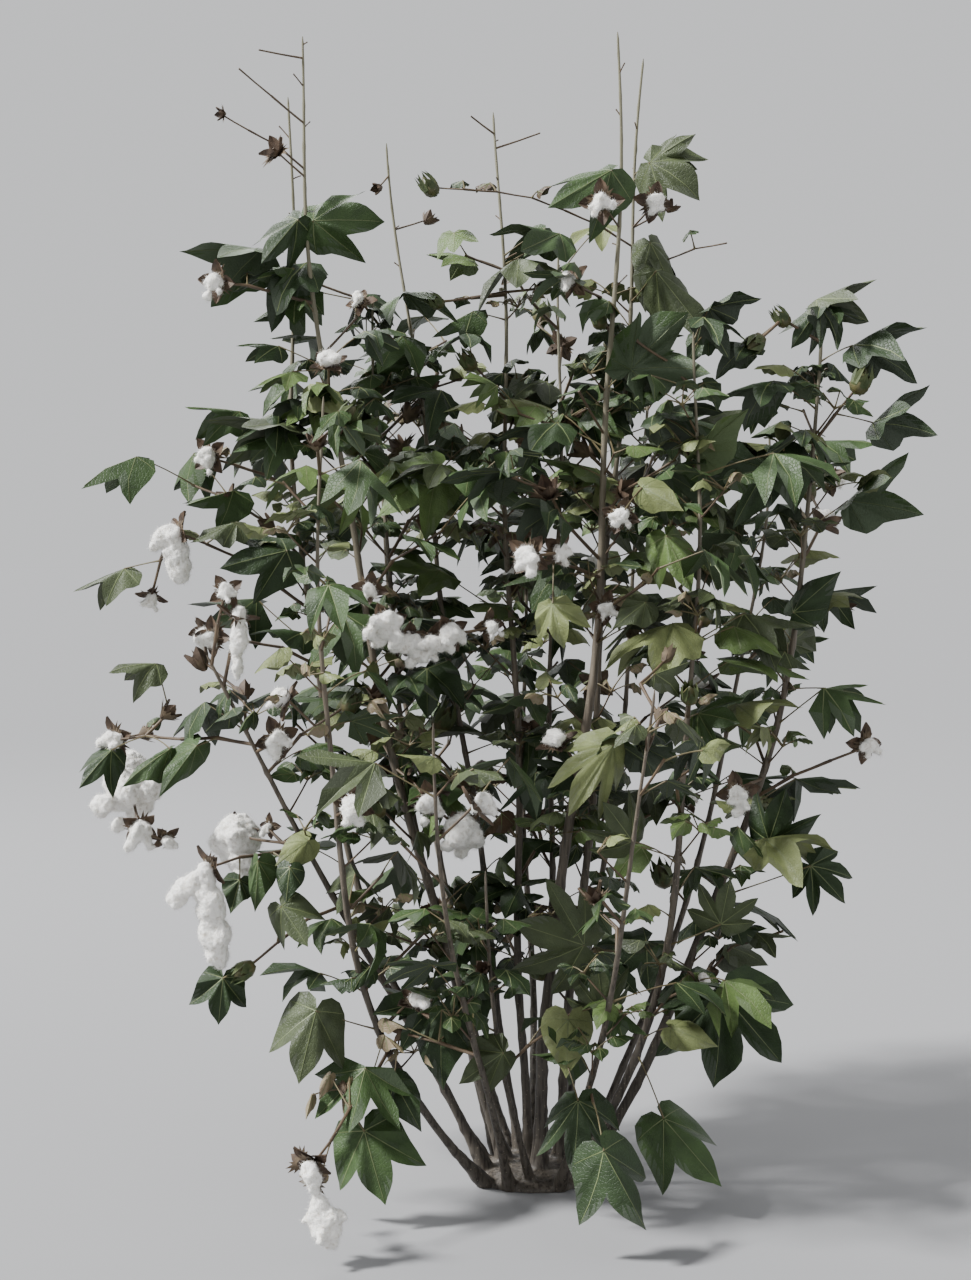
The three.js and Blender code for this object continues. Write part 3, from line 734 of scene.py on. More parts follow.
@dataclass
class Growth:
    """The growing rule: every twig, leaf and fruit on the stems, with the shares raised for this model."""

    first_joint: float = 120
    joint_spacing: float = 54
    joint_turn: float = 135
    turn_per_stem: float = 77
    stray: float = 18
    end_margin: float = 12
    leaf_share: float = 0.95
    branch_share: float = 0.58
    branch_leaf_share: float = 0.94
    fruit_share: float = 0.42
    shoot_share: float = 0.8
    band_heights: tuple[float, ...] = (20, 190, 420, 560, 900, 1060, 1230)
    band_densities: tuple[float, ...] = (0, 0.55, 0.55, 1, 1, 0.66, 0)
    band_top: float = 1060
    step: float = 66
    steps_from_to: Pair = (0.75, 1.2)
    rise: float = 44
    droop: float = 13
    zigzag: float = 24
    most_joints: float = 2.6
    leaf_length: float = 84
    leaf_sizes: Pair = (0.42, 1.2)
    top_share: float = 0.8
    spread: float = 55
    beside: float = 40
    stalk_shares: Pair = (0.6, 1.1)
    stalk_slopes: Pair = (10, 50)
    stalk_reach: float = 125
    stalk_drop: float = 0.5
    hangs: Pair = (-46, 12)
    blade_turn: float = 35
    roll: float = 90
    tilt: float = 0.4
    fruit_sizes: Pair = (26, 40)
    fruit_offset: float = 0.3
    fruit_slope: float = 20
    ripe: Pair = (0.75, 0.3)
    root_depth: float = 4
    lowest: float = 6
    radius: float = 2.5
    twig_radius: float = 1.5
    shoot_radius: float = 0.9
    branch_taper: float = 0.3
    twig_sag: float = -0.8
    branch_sag: float = -2.0
    shoot_sag: float = -1.5
    slim: float = 0.6
    slim_above: float = 1180
    shoot_lengths: Pair = (22, 62)
    shoot_leaves: tuple[float, ...] = (-150, -95, -30, 35, 100, 165)
    viewer: Triple = (-65, -2600, 880)
    open_stem: str = "centre_tall"
    open_heights: Triple = (300, 1260, 30)
    open_aside: float = 9
    young_sizes: Pair = (0.28, 0.62)
    seen_leaf_share: float = 0.3
    internode: float = 52
    fork_least: float = 34
    fork_share: float = 0.6
    kink: float = 0.045
    arches: Pair = (-0.08, 0.16)
    leaves: list[Leaf] = field(default_factory=list)
    twigs: list[Twig] = field(default_factory=list)
    fruits: list[Fruit] = field(default_factory=list)

    def grow(self) -> None:
        """Grow what shows in the photograph first, and then the rest by the rule."""
        for index, fruit in enumerate(SEEN_FRUIT):
            self.grow_seen_fruit(fruit, (SEEN_FRUIT_KEY, index))
        for index, (name, end, rise) in enumerate(SEEN_TWIGS):
            root = self.root_on(self.stem(name), end[2] - rise)
            self.add_twig(root, np.array(end, float), (SEEN_TWIG_KEY, index))
        for index, leaf in enumerate(SEEN_LEAVES):
            self.grow_seen_leaf(leaf, index)
        for stem in STEMS:
            self.grow_stem(stem)

    def stem(self, name: str) -> Stem:
        """The stem of a name."""
        return next(stem for stem in STEMS if stem.name == name)

    def density(self, height: float) -> float:
        """1 where the crown is dense, less low in the clump and near its top, and 0 beyond."""
        return float(np.interp(height, self.band_heights, self.band_densities))

    def root_on(self, stem: Stem, height: float) -> Point:
        """Find where a twig may leave a stem.

        Args:
            stem: the stem.
            height: the height that is wanted.

        Returns:
            The point of the stem nearest that height, well within one of its masses.
        """
        spans = stem.spans()
        start, end = next((span for span in spans if height < span[1] - self.end_margin), spans[-1])
        return stem.point(clamp(height, start + self.end_margin, end - self.end_margin))

    def carrier(self, root: Point, end: Point) -> Point:
        """Where to branch off towards an end: the nearest joint of an earlier twig, or else the stem.

        Args:
            root: the place on the stem.
            end: the end.

        Returns:
            The nearest joint not too near, if well nearer than the stem, and else the root.
        """
        if not self.twigs:
            return root
        joints = np.array([twig.points[-1] for twig in self.twigs])
        away = np.linalg.norm(joints - end, axis=1)
        away = np.where(away < self.fork_least, np.inf, away)
        near = int(np.argmin(away))
        return joints[near] if away[near] < self.fork_share * np.linalg.norm(root - end) else root

    def inside(self, points: Points) -> bool:
        """Whether points stay above the ground and within the solids' reach."""
        low, high = (np.array(corner) / MM for corner in CAD_BOX)
        return bool((points >= [*low[:2], self.lowest]).all() and (points <= high).all())

    def add_twig(self, start: Point, end: Point, keys: Keys) -> None:
        """Add a shoot that zigzags from joint to joint, with a small leaf at some of them.

        Args:
            start: where it leaves its carrier.
            end: its end.
            keys: the keys of its choices.
        """
        length = length_of(end - start)
        sag = length * pick(keys, Choice.CURL, *self.arches)
        joints = max(round(length / self.internode), 1)
        points = curve(start, end, sag, joints)
        side = square_to(unit(end - start))
        turn = draw(*keys, Choice.SPREAD) * math.tau
        aside = side * math.cos(turn) + np.cross(unit(end - start), side) * math.sin(turn)
        for joint in range(1, joints):
            points[joint] += aside * self.kink * self.internode * (1 if joint % 2 else -1)
        slim = self.slim if start[2] > self.slim_above else 1.0
        radii = np.linspace(self.radius, self.twig_radius, joints + 1) * slim
        for joint, (near, far) in enumerate(pairwise(points)):
            line = curve(near, far, self.twig_sag, 2)
            self.twigs.append(Twig(line, (radii[joint], radii[joint + 1])))
            leafy = draw(*keys, Choice.BRANCH_LEAF, joint)
            if joint and leafy < self.seen_leaf_share:
                way = math.degrees(math.atan2(*(aside[1::-1] * (1 if joint % 2 else -1))))
                self.grow_leaf(near, way, (*keys, joint), self.young_sizes)

    def grow_seen_fruit(self, seen: SeenFruit, keys: Keys) -> None:
        """Add a fruit that shows in the photograph, on its twig.

        Args:
            seen: the fruit.
            keys: the keys of its choices.
        """
        centre = seen.centre
        root = self.carrier(self.root_on(self.stem(seen.stem), centre[2] - seen.rise), centre)
        self.add_twig(root, centre, keys)
        self.fruits.append(Fruit(seen.kind, centre, seen.size, unit(centre - root), keys))

    def grow_seen_leaf(self, seen: SeenLeaf, index: int) -> None:
        """Add a leaf that shows in the photograph, on a twig where its stalk alone would be too long.

        Args:
            seen: the leaf.
            index: its place in the list, a key of its choices.
        """
        stem = self.stem(seen.stem)
        foot = seen.foot
        away = length_of(foot - stem.point(min(foot[2], stem.tip[2])))
        root = self.carrier(self.root_on(stem, foot[2] - away * self.stalk_drop), foot)
        share = min(self.stalk_reach / length_of(root - foot), 1)
        joint = foot + (root - foot) * share
        if share < 1:
            self.add_twig(root, joint, (SEEN_TWIG_KEY, index, SEEN_LEAF_KEY))
        keys = (SEEN_LEAF_KEY, index)
        facing = np.array(seen.facing.value)
        self.leaves.append(Leaf(joint, foot, foot + seen.way, facing, keys, seen.fold, seen.look))

    def grow_leaf(self, root: Point, turn: float, keys: Keys, sizes: Pair) -> None:
        """Add a leaf of the rule: its stalk rises outwards and its blade hangs from there.

        Args:
            root: where its stalk begins.
            turn: the compass turn of its stalk.
            keys: the keys of its choices.
            sizes: the least and the greatest share of a leaf's full length.
        """
        vigour = between(self.top_share, 1, self.density(root[2]))
        size = self.leaf_length * vigour * pick(keys, Choice.LEAF_SIZE, *sizes)
        rise = pick(keys, Choice.STALK_SLOPE, *self.stalk_slopes)
        stalk = pick(keys, Choice.STALK_LENGTH, *self.stalk_shares) * size
        foot = root + heading(turn, rise) * stalk
        way_turn = turn + pick(keys, Choice.BLADE_TURN, -self.blade_turn, self.blade_turn)
        tip = foot + heading(way_turn, pick(keys, Choice.HANG, *self.hangs)) * size
        roll = turn + pick(keys, Choice.ROLL, -self.roll, self.roll)
        if self.inside(np.array([foot, tip])) and not self.hides_sight((foot + tip) / 2, size / 3):
            self.leaves.append(Leaf(root, foot, tip, UP + heading(roll, 0) * self.tilt, keys))

    def hides_sight(self, middle: Point, reach: float) -> bool:
        """Whether a blade would hide what shows in the photograph, the lint or the tall stem in front.

        Args:
            middle: the middle of the blade.
            reach: about how far it reaches round that.

        Returns:
            True if it would.
        """
        viewer = np.array(self.viewer, float)
        places, widths = self.sights
        share = (places[:, 1] - middle[1]) / (places[:, 1] - viewer[1])
        passes = places + (viewer - places) * share[:, None]
        close = np.linalg.norm(passes - middle, axis=1) < widths + reach
        return bool((close & (share > 0)).any())

    @cached_property
    def sights(self) -> tuple[Points, Points]:
        """Gather what no other leaf hides.

        Returns:
            The places, and how wide each is.
        """
        bare = (FruitKind.CLOSED, FruitKind.DRY)
        fruit = [(seen.centre, seen.size / 2) for seen in SEEN_FRUIT if seen.kind not in bare]
        stem = self.stem(self.open_stem)
        along = [(stem.point(height), self.open_aside) for height in np.arange(*self.open_heights)]
        places, widths = zip(*fruit, *along)
        return np.array(places, float), np.array(widths)

    def grow_branch(self, root: Point, turn: float, keys: Keys) -> None:
        """Add a fruiting branch that zigzags and droops, with leaves and fruit at its joints.

        Args:
            root: where it leaves the stem.
            turn: its compass turn.
            keys: the keys of its choices.
        """
        joints = 1 + math.floor(draw(*keys, Choice.JOINTS) * self.most_joints)
        points = [root]
        for joint in range(joints):
            side_turn = turn + (self.zigzag if joint % 2 else -self.zigzag)
            stretch = between(*self.steps_from_to, draw(*keys, Choice.STEP, joint))
            way = heading(side_turn, self.rise - self.droop * joint)
            points.append(points[-1] + way * self.step * stretch)
        if not self.inside(np.array(points)):
            return
        for joint, (start, end) in enumerate(pairwise(points)):
            thin = between(self.radius, self.twig_radius, (joint + 1) / joints)
            self.twigs.append(Twig(curve(start, end, self.branch_sag, 3), (thin + self.branch_taper, thin)))
            side_turn = turn + (self.zigzag if joint % 2 else -self.zigzag)
            self.grow_joint(end, unit(end - start), side_turn, joint, keys)

    def grow_joint(self, end: Point, way: Point, turn: float, joint: int, keys: Keys) -> None:
        """Add the leaf and the fruit of one joint of a fruiting branch.

        Args:
            end: the joint.
            way: the way in which the branch reaches it.
            turn: the compass turn of that.
            joint: its number, a key of its choices.
            keys: the branch's keys.
        """
        side = -self.spread if joint % 2 else self.spread
        start = end - way * self.root_depth
        if draw(*keys, Choice.BRANCH_LEAF, joint) < self.branch_leaf_share:
            self.grow_leaf(start, turn + side, (*keys, joint), self.leaf_sizes)
        if draw(*keys, Choice.FRUIT, joint) < self.fruit_share:
            size = between(*self.fruit_sizes, draw(*keys, Choice.FRUIT_SIZE, joint))
            centre = start + heading(turn, self.fruit_slope) * size * self.fruit_offset
            kind = self.fruit_kind(start[2], draw(*keys, Choice.FRUIT_KIND, joint))
            self.fruits.append(Fruit(kind, centre, size, way, (*keys, joint)))

    def fruit_kind(self, height: float, chance: float) -> FruitKind:
        """Decide what a fruit is: low fruit is mostly open, and high fruit is closed or dry.

        Args:
            height: its height.
            chance: a number from 0 to 1.

        Returns:
            What it is.
        """
        ripe = between(*self.ripe, min(height / self.band_top, 1))
        if chance < ripe:
            return FruitKind.OPEN
        return FruitKind.CLOSED if chance < (1 + ripe) / 2 else FruitKind.DRY

    def grow_stem(self, stem: Stem) -> None:
        """Add the leaves, branches and short shoots at the joints along a stem.

        Args:
            stem: the stem.
        """
        joints = math.floor((stem.tip[2] - self.first_joint) / self.joint_spacing)
        spans = [(start + self.end_margin, end - self.end_margin) for start, end in stem.spans()]
        for joint in range(joints):
            height = self.first_joint + joint * self.joint_spacing
            if not any(start <= height <= end for start, end in spans):
                continue
            keys = (stem.index, joint)
            turn = self.turn_at(stem, joint)
            density = self.density(height)
            if draw(*keys, Choice.BRANCH) < self.branch_share * density:
                self.grow_branch(stem.point(height), turn, keys)
            if draw(*keys, Choice.LEAF) < self.leaf_share * density:
                self.grow_leaf(stem.point(height), turn + self.beside, keys, self.leaf_sizes)
            if draw(*keys, Choice.SHOOT) < self.shoot_share * density:
                self.grow_shoot(stem.point(height), turn + 180, (*keys, Choice.SHOOT))

    def turn_at(self, stem: Stem, joint: int) -> float:
        """The compass turn in which a joint of a stem bears its branch."""
        stray = pick((stem.index, joint), Choice.STRAY, -self.stray, self.stray)
        return stem.index * self.turn_per_stem + joint * self.joint_turn + stray

    def grow_shoot(self, root: Point, turn: float, keys: Keys) -> None:
        """Add a short side shoot with a few young leaves at its end.

        Args:
            root: where it leaves the stem.
            turn: its compass turn.
            keys: the keys of its choices.
        """
        length = pick(keys, Choice.STEP, *self.shoot_lengths)
        end = root + heading(turn, self.rise) * length
        if not self.inside(np.array([end])):
            return
        self.twigs.append(Twig(curve(root, end, self.shoot_sag, 3), (self.twig_radius, self.shoot_radius)))
        for leaf, side in enumerate(self.shoot_leaves):
            self.grow_leaf(end, turn + side, (*keys, leaf), self.young_sizes)


# Shaders


class Value:
    """An output socket in arithmetic: each operator adds its Math node."""

    def __init__(self, shader: "Shader", socket: bpy.types.NodeSocket) -> None:
        """Keep the socket and the shader that it belongs to."""
        self.shader = shader
        self.socket = socket

    def math(self, operation: str, first: "Value | float", second: "Value | float") -> "Value":
        """The result of one Math node."""
        return self.shader.node("Math", {"operation": operation}, {0: first, 1: second})

    def __add__(self, other: "Value | float") -> "Value":
        """This plus the other."""
        return self.math("ADD", self, other)

    def __sub__(self, other: "Value | float") -> "Value":
        """This less the other."""
        return self.math("SUBTRACT", self, other)

    def __rsub__(self, other: "Value | float") -> "Value":
        """The other less this."""
        return self.math("SUBTRACT", other, self)

    def __mul__(self, other: "Value | float") -> "Value":
        """This times the other."""
        return self.math("MULTIPLY", self, other)

    __radd__ = __add__
    __rmul__ = __mul__


class Shader:
    """The node tree of one material, built around one Principled shader."""

    def __init__(self, name: str, constants: dict[str, object] | None = None) -> None:
        """Make the material.

        Args:
            name: the material's name.
            constants: values set directly on the Principled shader's own sockets.
        """
        self.material = bpy.data.materials.new(name)
        self.material.use_nodes = True
        self.tree = self.material.node_tree
        self.surface = self.tree.nodes["Principled BSDF"]
        self.feed(self.surface, constants or {})
        self.place = self.node("TexCoord", {}, {}, "Object")

    def feed(self, node: bpy.types.Node, inputs: dict[int | str, object]) -> None:
        """Set a node's inputs.

        Args:
            node: the node.
            inputs: a value, or the Value to link, for each of its sockets.
        """
        for socket, value in inputs.items():
            if isinstance(value, Value):
                self.tree.links.new(value.socket, node.inputs[socket])
            else:
                node.inputs[socket].default_value = value

    def node(self, kind: str, settings: dict[str, object], inputs: dict[int | str, object],
             output: int | str = 0) -> Value:
        """Add a node.

        Args:
            kind: its type, without the words that every shader node's type begins with.
            settings: its own settings, or a ramp's stops as pairs of place and colour.
            inputs: a value, or the Value to link, for each of its sockets.
            output: the output socket that is wanted.

        Returns:
            That output as a Value.
        """
        made = self.tree.nodes.new("ShaderNode" + kind)
        for name, value in settings.items():
            if name == "stops":
                self.set_stops(made.color_ramp, value)
            else:
                setattr(made, name, value)
        self.feed(made, inputs)
        return Value(self, made.outputs[output])

    def set_stops(self, ramp: bpy.types.ColorRamp, stops: list[tuple[float, Colour]]) -> None:
        """Give a ramp its stops.

        Args:
            ramp: the ramp.
            stops: the place and the colour of each.
        """
        while len(ramp.elements) < len(stops):
            ramp.elements.new(1.0)
        for element, (place, colour) in zip(ramp.elements, stops):
            element.position = place
            element.color = (*colour, 1.0)

    def noise(self, scale: float, detail: float = 3.0, stretch: Triple = (1, 1, 1)) -> Value:
        """Smooth noise from 0 to 1 over the piece, drawn out along the axes where stretch is small."""
        place = self.node("Mapping", {}, {"Vector": self.place, "Scale": stretch})
        return self.node("TexNoise", {}, {"Vector": place, "Scale": scale, "Detail": detail})

    def fade(self, value: Value, start: float, end: float, first: float = 1.0, last: float = 0.0) -> Value:
        """A number that goes from first to last while a value goes from start to end."""
        return self.node("MapRange", {}, {0: value, 1: start, 2: end, 3: first, 4: last})

    def ramp(self, value: Value, stops: list[tuple[float, Colour]]) -> Value:
        """The colour of a ramp at a value."""
        return self.node("ValToRGB", {"stops": stops}, {0: value})

    def mix(self, share: Value, first: object, second: object) -> Value:
        """Two colours mixed by a share."""
        colours = [one if isinstance(one, Value) else (*one, 1.0) for one in (first, second)]
        return self.node("Mix", {"data_type": "RGBA"}, {0: share, 6: colours[0], 7: colours[1]}, 2)

    def bump(self, height: Value, distance: float, strength: float = 0.6) -> Value:
        """A normal raised by a height, the distance in millimetres."""
        return self.node("Bump", {}, {"Height": height, "Distance": distance * MM, "Strength": strength})

    def dress(self, colour: Value, roughness: Value | float, normal: Value) -> Material:
        """Wire the surface and hand over the material."""
        self.feed(self.surface, {"Base Color": colour, "Roughness": roughness, "Normal": normal})
        return self.material


@dataclass(frozen=True)
class BarkFinish:
    """Bark that is grey-brown and cracked at the foot and smooth, reddish and then green higher up."""

    name: str = "stem_bark"
    crack: Colour = (0.024, 0.018, 0.013)
    woody: Colour = (0.074, 0.063, 0.050)
    ruddy: Colour = (0.130, 0.106, 0.078)
    green: Colour = (0.170, 0.160, 0.104)
    speck: Colour = (0.190, 0.162, 0.120)
    patches: float = 5.0
    streaks: float = 260.0
    specks: float = 170.0
    relief: float = 0.8

    def material(self) -> Material:
        """Make the material.

        Returns:
            The bark, its tone by the height.
        """
        shader = Shader(self.name, {"Specular IOR Level": 0.4})
        height = shader.node("SeparateXYZ", {}, {0: shader.place}, "Z")
        grown = height + (shader.noise(self.patches) - 0.5) * 0.3
        tone = shader.ramp(grown * 0.66, [(0.1, self.woody), (0.45, self.ruddy), (0.85, self.green)])
        streak = shader.noise(self.streaks, 4.0, (1, 1, 0.09))
        young = shader.fade(height, 0.05, 1.0, 1.0, 0.25)
        crack = shader.fade(streak, 0.36, 0.52) * young
        speck = shader.node("TexVoronoi", {}, {0: shader.place, "Scale": self.specks}, "Distance")
        spot = shader.fade(speck, 0.08, 0.2, 0.8)
        colour = shader.mix(spot, shader.mix(crack, tone, self.crack), self.speck)
        relief = streak * young + spot * 0.5
        return shader.dress(colour, 0.36 + streak * 0.3, shader.bump(relief, self.relief))


@dataclass(frozen=True)
class TwigFinish:
    """The thin ruddy skin of twigs and leaf stalks."""

    name: str
    dark: Colour
    light: Colour
    grain: float = 38.0

    def material(self) -> Material:
        """Make the material.

        Returns:
            The skin.
        """
        shader = Shader(self.name, {"Specular IOR Level": 0.45})
        tone = shader.noise(self.grain, 4.0)
        colour = shader.ramp(tone, [(0.3, self.dark), (0.7, self.light)])
        return shader.dress(colour, 0.42 + tone * 0.3, shader.bump(shader.noise(500.0), 0.3))


@dataclass(frozen=True)
class LeafFinish:
    """A blade of one plain tint, a little mottled, with a fine net of small veins in its skin."""

    name: str
    tint: Colour
    gloss: float = 0.42
    dim: float = 0.72
    lit: float = 1.3
    mottle: float = 42.0
    net: float = 230.0
    waves: float = 70.0
    relief: float = 1.6

    def material(self) -> Material:
        """Make the material.

        Returns:
            The blade's finish, paler on its underside.
        """
        shader = Shader(self.name, {"Specular IOR Level": 0.3})
        mottle = shader.noise(self.mottle, 4.0)
        dim, lit = (tuple(part * share for part in self.tint) for share in (self.dim, self.lit))
        pale = tuple(0.85 * part + 0.028 for part in self.tint)
        under = shader.node("Attribute", {"attribute_name": UNDERSIDE}, {}, "Fac")
        colour = shader.mix(under, shader.ramp(mottle, [(0.28, dim), (0.72, lit)]), pale)
        cells = {0: shader.place, "Scale": self.net}
        net = shader.node("TexVoronoi", {"feature": "DISTANCE_TO_EDGE"}, cells)
        relief = shader.fade(net, 0.0, 0.12, 0.0, 1.0) * 0.3 + shader.noise(self.waves)
        return shader.dress(colour, self.gloss + mottle * 0.2, shader.bump(relief, self.relief))


@dataclass(frozen=True)
class LintFinish:
    """White matted fibre, creamy and darker in its hollows, the darkening a painted shade."""

    name: str = "cotton_lint"
    # hollow: a creamy colour darkened as painted shade, for the low places of the lint
    hollow: Colour = (0.54, 0.49, 0.41)
    fibre: Colour = (0.90, 0.885, 0.84)
    tufts: float = 180.0
    threads: float = 700.0
    relief: float = 2.2

    def material(self) -> Material:
        """Make the material.

        Returns:
            The lint, a little light let through it.
        """
        shader = Shader(self.name, {
            "Specular IOR Level": 0.15,
            "Sheen Weight": 0.35,
            "Sheen Roughness": 0.6,
            "Subsurface Weight": 0.15,
            "Subsurface Radius": (0.004, 0.004, 0.0035),
            "Subsurface Scale": 1.0,
        })
        tuft = shader.noise(self.tufts, 6.0)
        thread = shader.noise(self.threads, 5.0, (1, 0.3, 1))
        # The colour follows the bump's own noise, so the sunken hollows take the painted shade.
        colour = shader.ramp(tuft * 0.7 + thread * 0.3, [(0.3, self.hollow), (0.5, self.fibre)])
        return shader.dress(colour, 0.95, shader.bump(tuft + thread * 0.6, self.relief, 0.8))


@dataclass(frozen=True)
class HuskFinish:
    """The woody skin of bolls, their opened valves and the dried bracts under them."""

    name: str
    dark: Colour
    light: Colour
    gloss: float = 0.5
    grain: float = 90.0
    relief: float = 0.6

    def material(self) -> Material:
        """Make the material.

        Returns:
            The woody skin.
        """
        shader = Shader(self.name, {"Specular IOR Level": 0.4})
        tone = shader.noise(self.grain, 5.0, (1, 1, 0.5))
        colour = shader.ramp(tone, [(0.3, self.dark), (0.7, self.light)])
        return shader.dress(colour, self.gloss + tone * 0.3, shader.bump(shader.noise(420.0), self.relief))


# Leaves


@dataclass(frozen=True)
class Form:
    """The outline of a blade.

    Half its rim is given as angles in degrees from the tip and shares of the length, its veins are the
    lobes of one side that they run out into, and its period is the angle between two lobes.
    """

    outline: tuple[Pair, ...]
    veins: tuple[Pair, ...]
    period: float

    FINE_RINGS = (0.34, 0.68, 1.0)
    INNER_RING = 0.52

    def rim(self) -> Points:
        """Mirror the half outline.

        Returns:
            The points of the whole outline ahead and aside of the foot, from the tip round.
        """
        far = [(360 - angle, radius) for angle, radius in reversed(self.outline[1:-1])]
        polar = np.array([*self.outline, *far])
        angles = np.radians(polar[:, 0])
        return np.stack([np.cos(angles), np.sin(angles)], axis=1) * polar[:, 1:]

    def fine(self) -> tuple[Points, Faces, list[int]]:
        """Lay out a blade that is seen from near by.

        Returns:
            Its flat points, its faces and its rim.
        """
        rim = self.rim()
        around = len(rim)
        flat = np.concatenate([[[0.0, 0.0]]] + [rim * ring for ring in self.FINE_RINGS])
        pairs = [(i, (i + 1) % around) for i in range(around)]
        faces: Faces = [(0, 1 + one, 1 + two) for one, two in pairs]
        for start in (1, 1 + around):
            after = start + around
            faces += [(start + one, after + one, after + two, start + two) for one, two in pairs]
        return flat, faces, list(range(1 + 2 * around, 1 + 3 * around))

    def plain(self) -> tuple[Points, Faces, list[int]]:
        """Lay out a blade that is one of hundreds: its inner ring has half the rim's points.

        Returns:
            Its flat points, its faces and its rim.
        """
        rim = self.rim()
        half = len(rim) // 2
        flat = np.concatenate([[[0.0, 0.0]], rim[::2] * self.INNER_RING, rim])
        faces: Faces = []
        for one, two in ((i, (i + 1) % half) for i in range(half)):
            first, middle, last = (1 + half + corner % len(rim) for corner in range(2 * one, 2 * one + 3))
            faces.append((0, 1 + one, 1 + two))
            faces.append((1 + one, first, middle, 1 + two))
            faces.append((1 + two, middle, last))
        return flat, faces, list(range(1 + half, 1 + half + len(rim)))


class LeafForm(Enum):
    """The forms of blade on the plant, from a young whole one to a large one of five lobes."""

    YOUNG = Form(
        ((0, 1), (12, 0.78), (24, 0.67), (38, 0.6), (54, 0.55), (72, 0.5), (92, 0.46), (114, 0.42),
         (136, 0.36), (160, 0.24), (180, 0.04)),
        ((38, 0.6), (92, 0.46)),
        50,
    )
    THREE = Form(
        ((0, 1), (13, 0.76), (27, 0.52), (36, 0.72), (46, 0.88), (57, 0.7), (74, 0.55), (98, 0.48),
         (124, 0.41), (154, 0.28), (180, 0.04)),
        ((46, 0.88), (124, 0.41)),
        50,
    )
    FIVE = Form(
        ((0, 1), (12, 0.76), (25, 0.46), (34, 0.74), (44, 0.93), (55, 0.72), (67, 0.43), (76, 0.62),
         (86, 0.74), (120, 0.46), (180, 0.04)),
        ((44, 0.93), (86, 0.74)),
        43,
    )
    YOUNG_NEAR = Form(
        ((0, 1), (4, 0.88), (11, 0.77), (20, 0.68), (30, 0.62), (42, 0.57), (56, 0.53), (72, 0.5),
         (92, 0.46), (114, 0.42), (138, 0.34), (160, 0.2), (180, 0.04)),
        ((42, 0.57), (92, 0.46)),
        50,
    )
    THREE_NEAR = Form(
        ((0, 1), (3, 0.92), (8, 0.84), (14, 0.76), (20, 0.67), (25, 0.59), (29, 0.52), (33, 0.62),
         (38, 0.74), (42, 0.84), (46, 0.94), (50, 0.84), (56, 0.75), (64, 0.65), (75, 0.57), (89, 0.52),
         (105, 0.48), (125, 0.41), (146, 0.32), (165, 0.18), (180, 0.04)),
        ((46, 0.94), (105, 0.48)),
        50,
    )
    FIVE_NEAR = Form(
        ((0, 1), (3, 0.92), (7, 0.85), (12, 0.77), (17, 0.69), (22, 0.57), (26, 0.45), (29, 0.57),
         (34, 0.73), (39, 0.86), (44, 0.97), (48, 0.88), (53, 0.78), (60, 0.64), (66, 0.45), (71, 0.56),
         (78, 0.68), (86, 0.78), (93, 0.69), (103, 0.59), (119, 0.48), (140, 0.38), (162, 0.2), (180, 0.04)),
        ((44, 0.97), (86, 0.78)),
        43,
    )


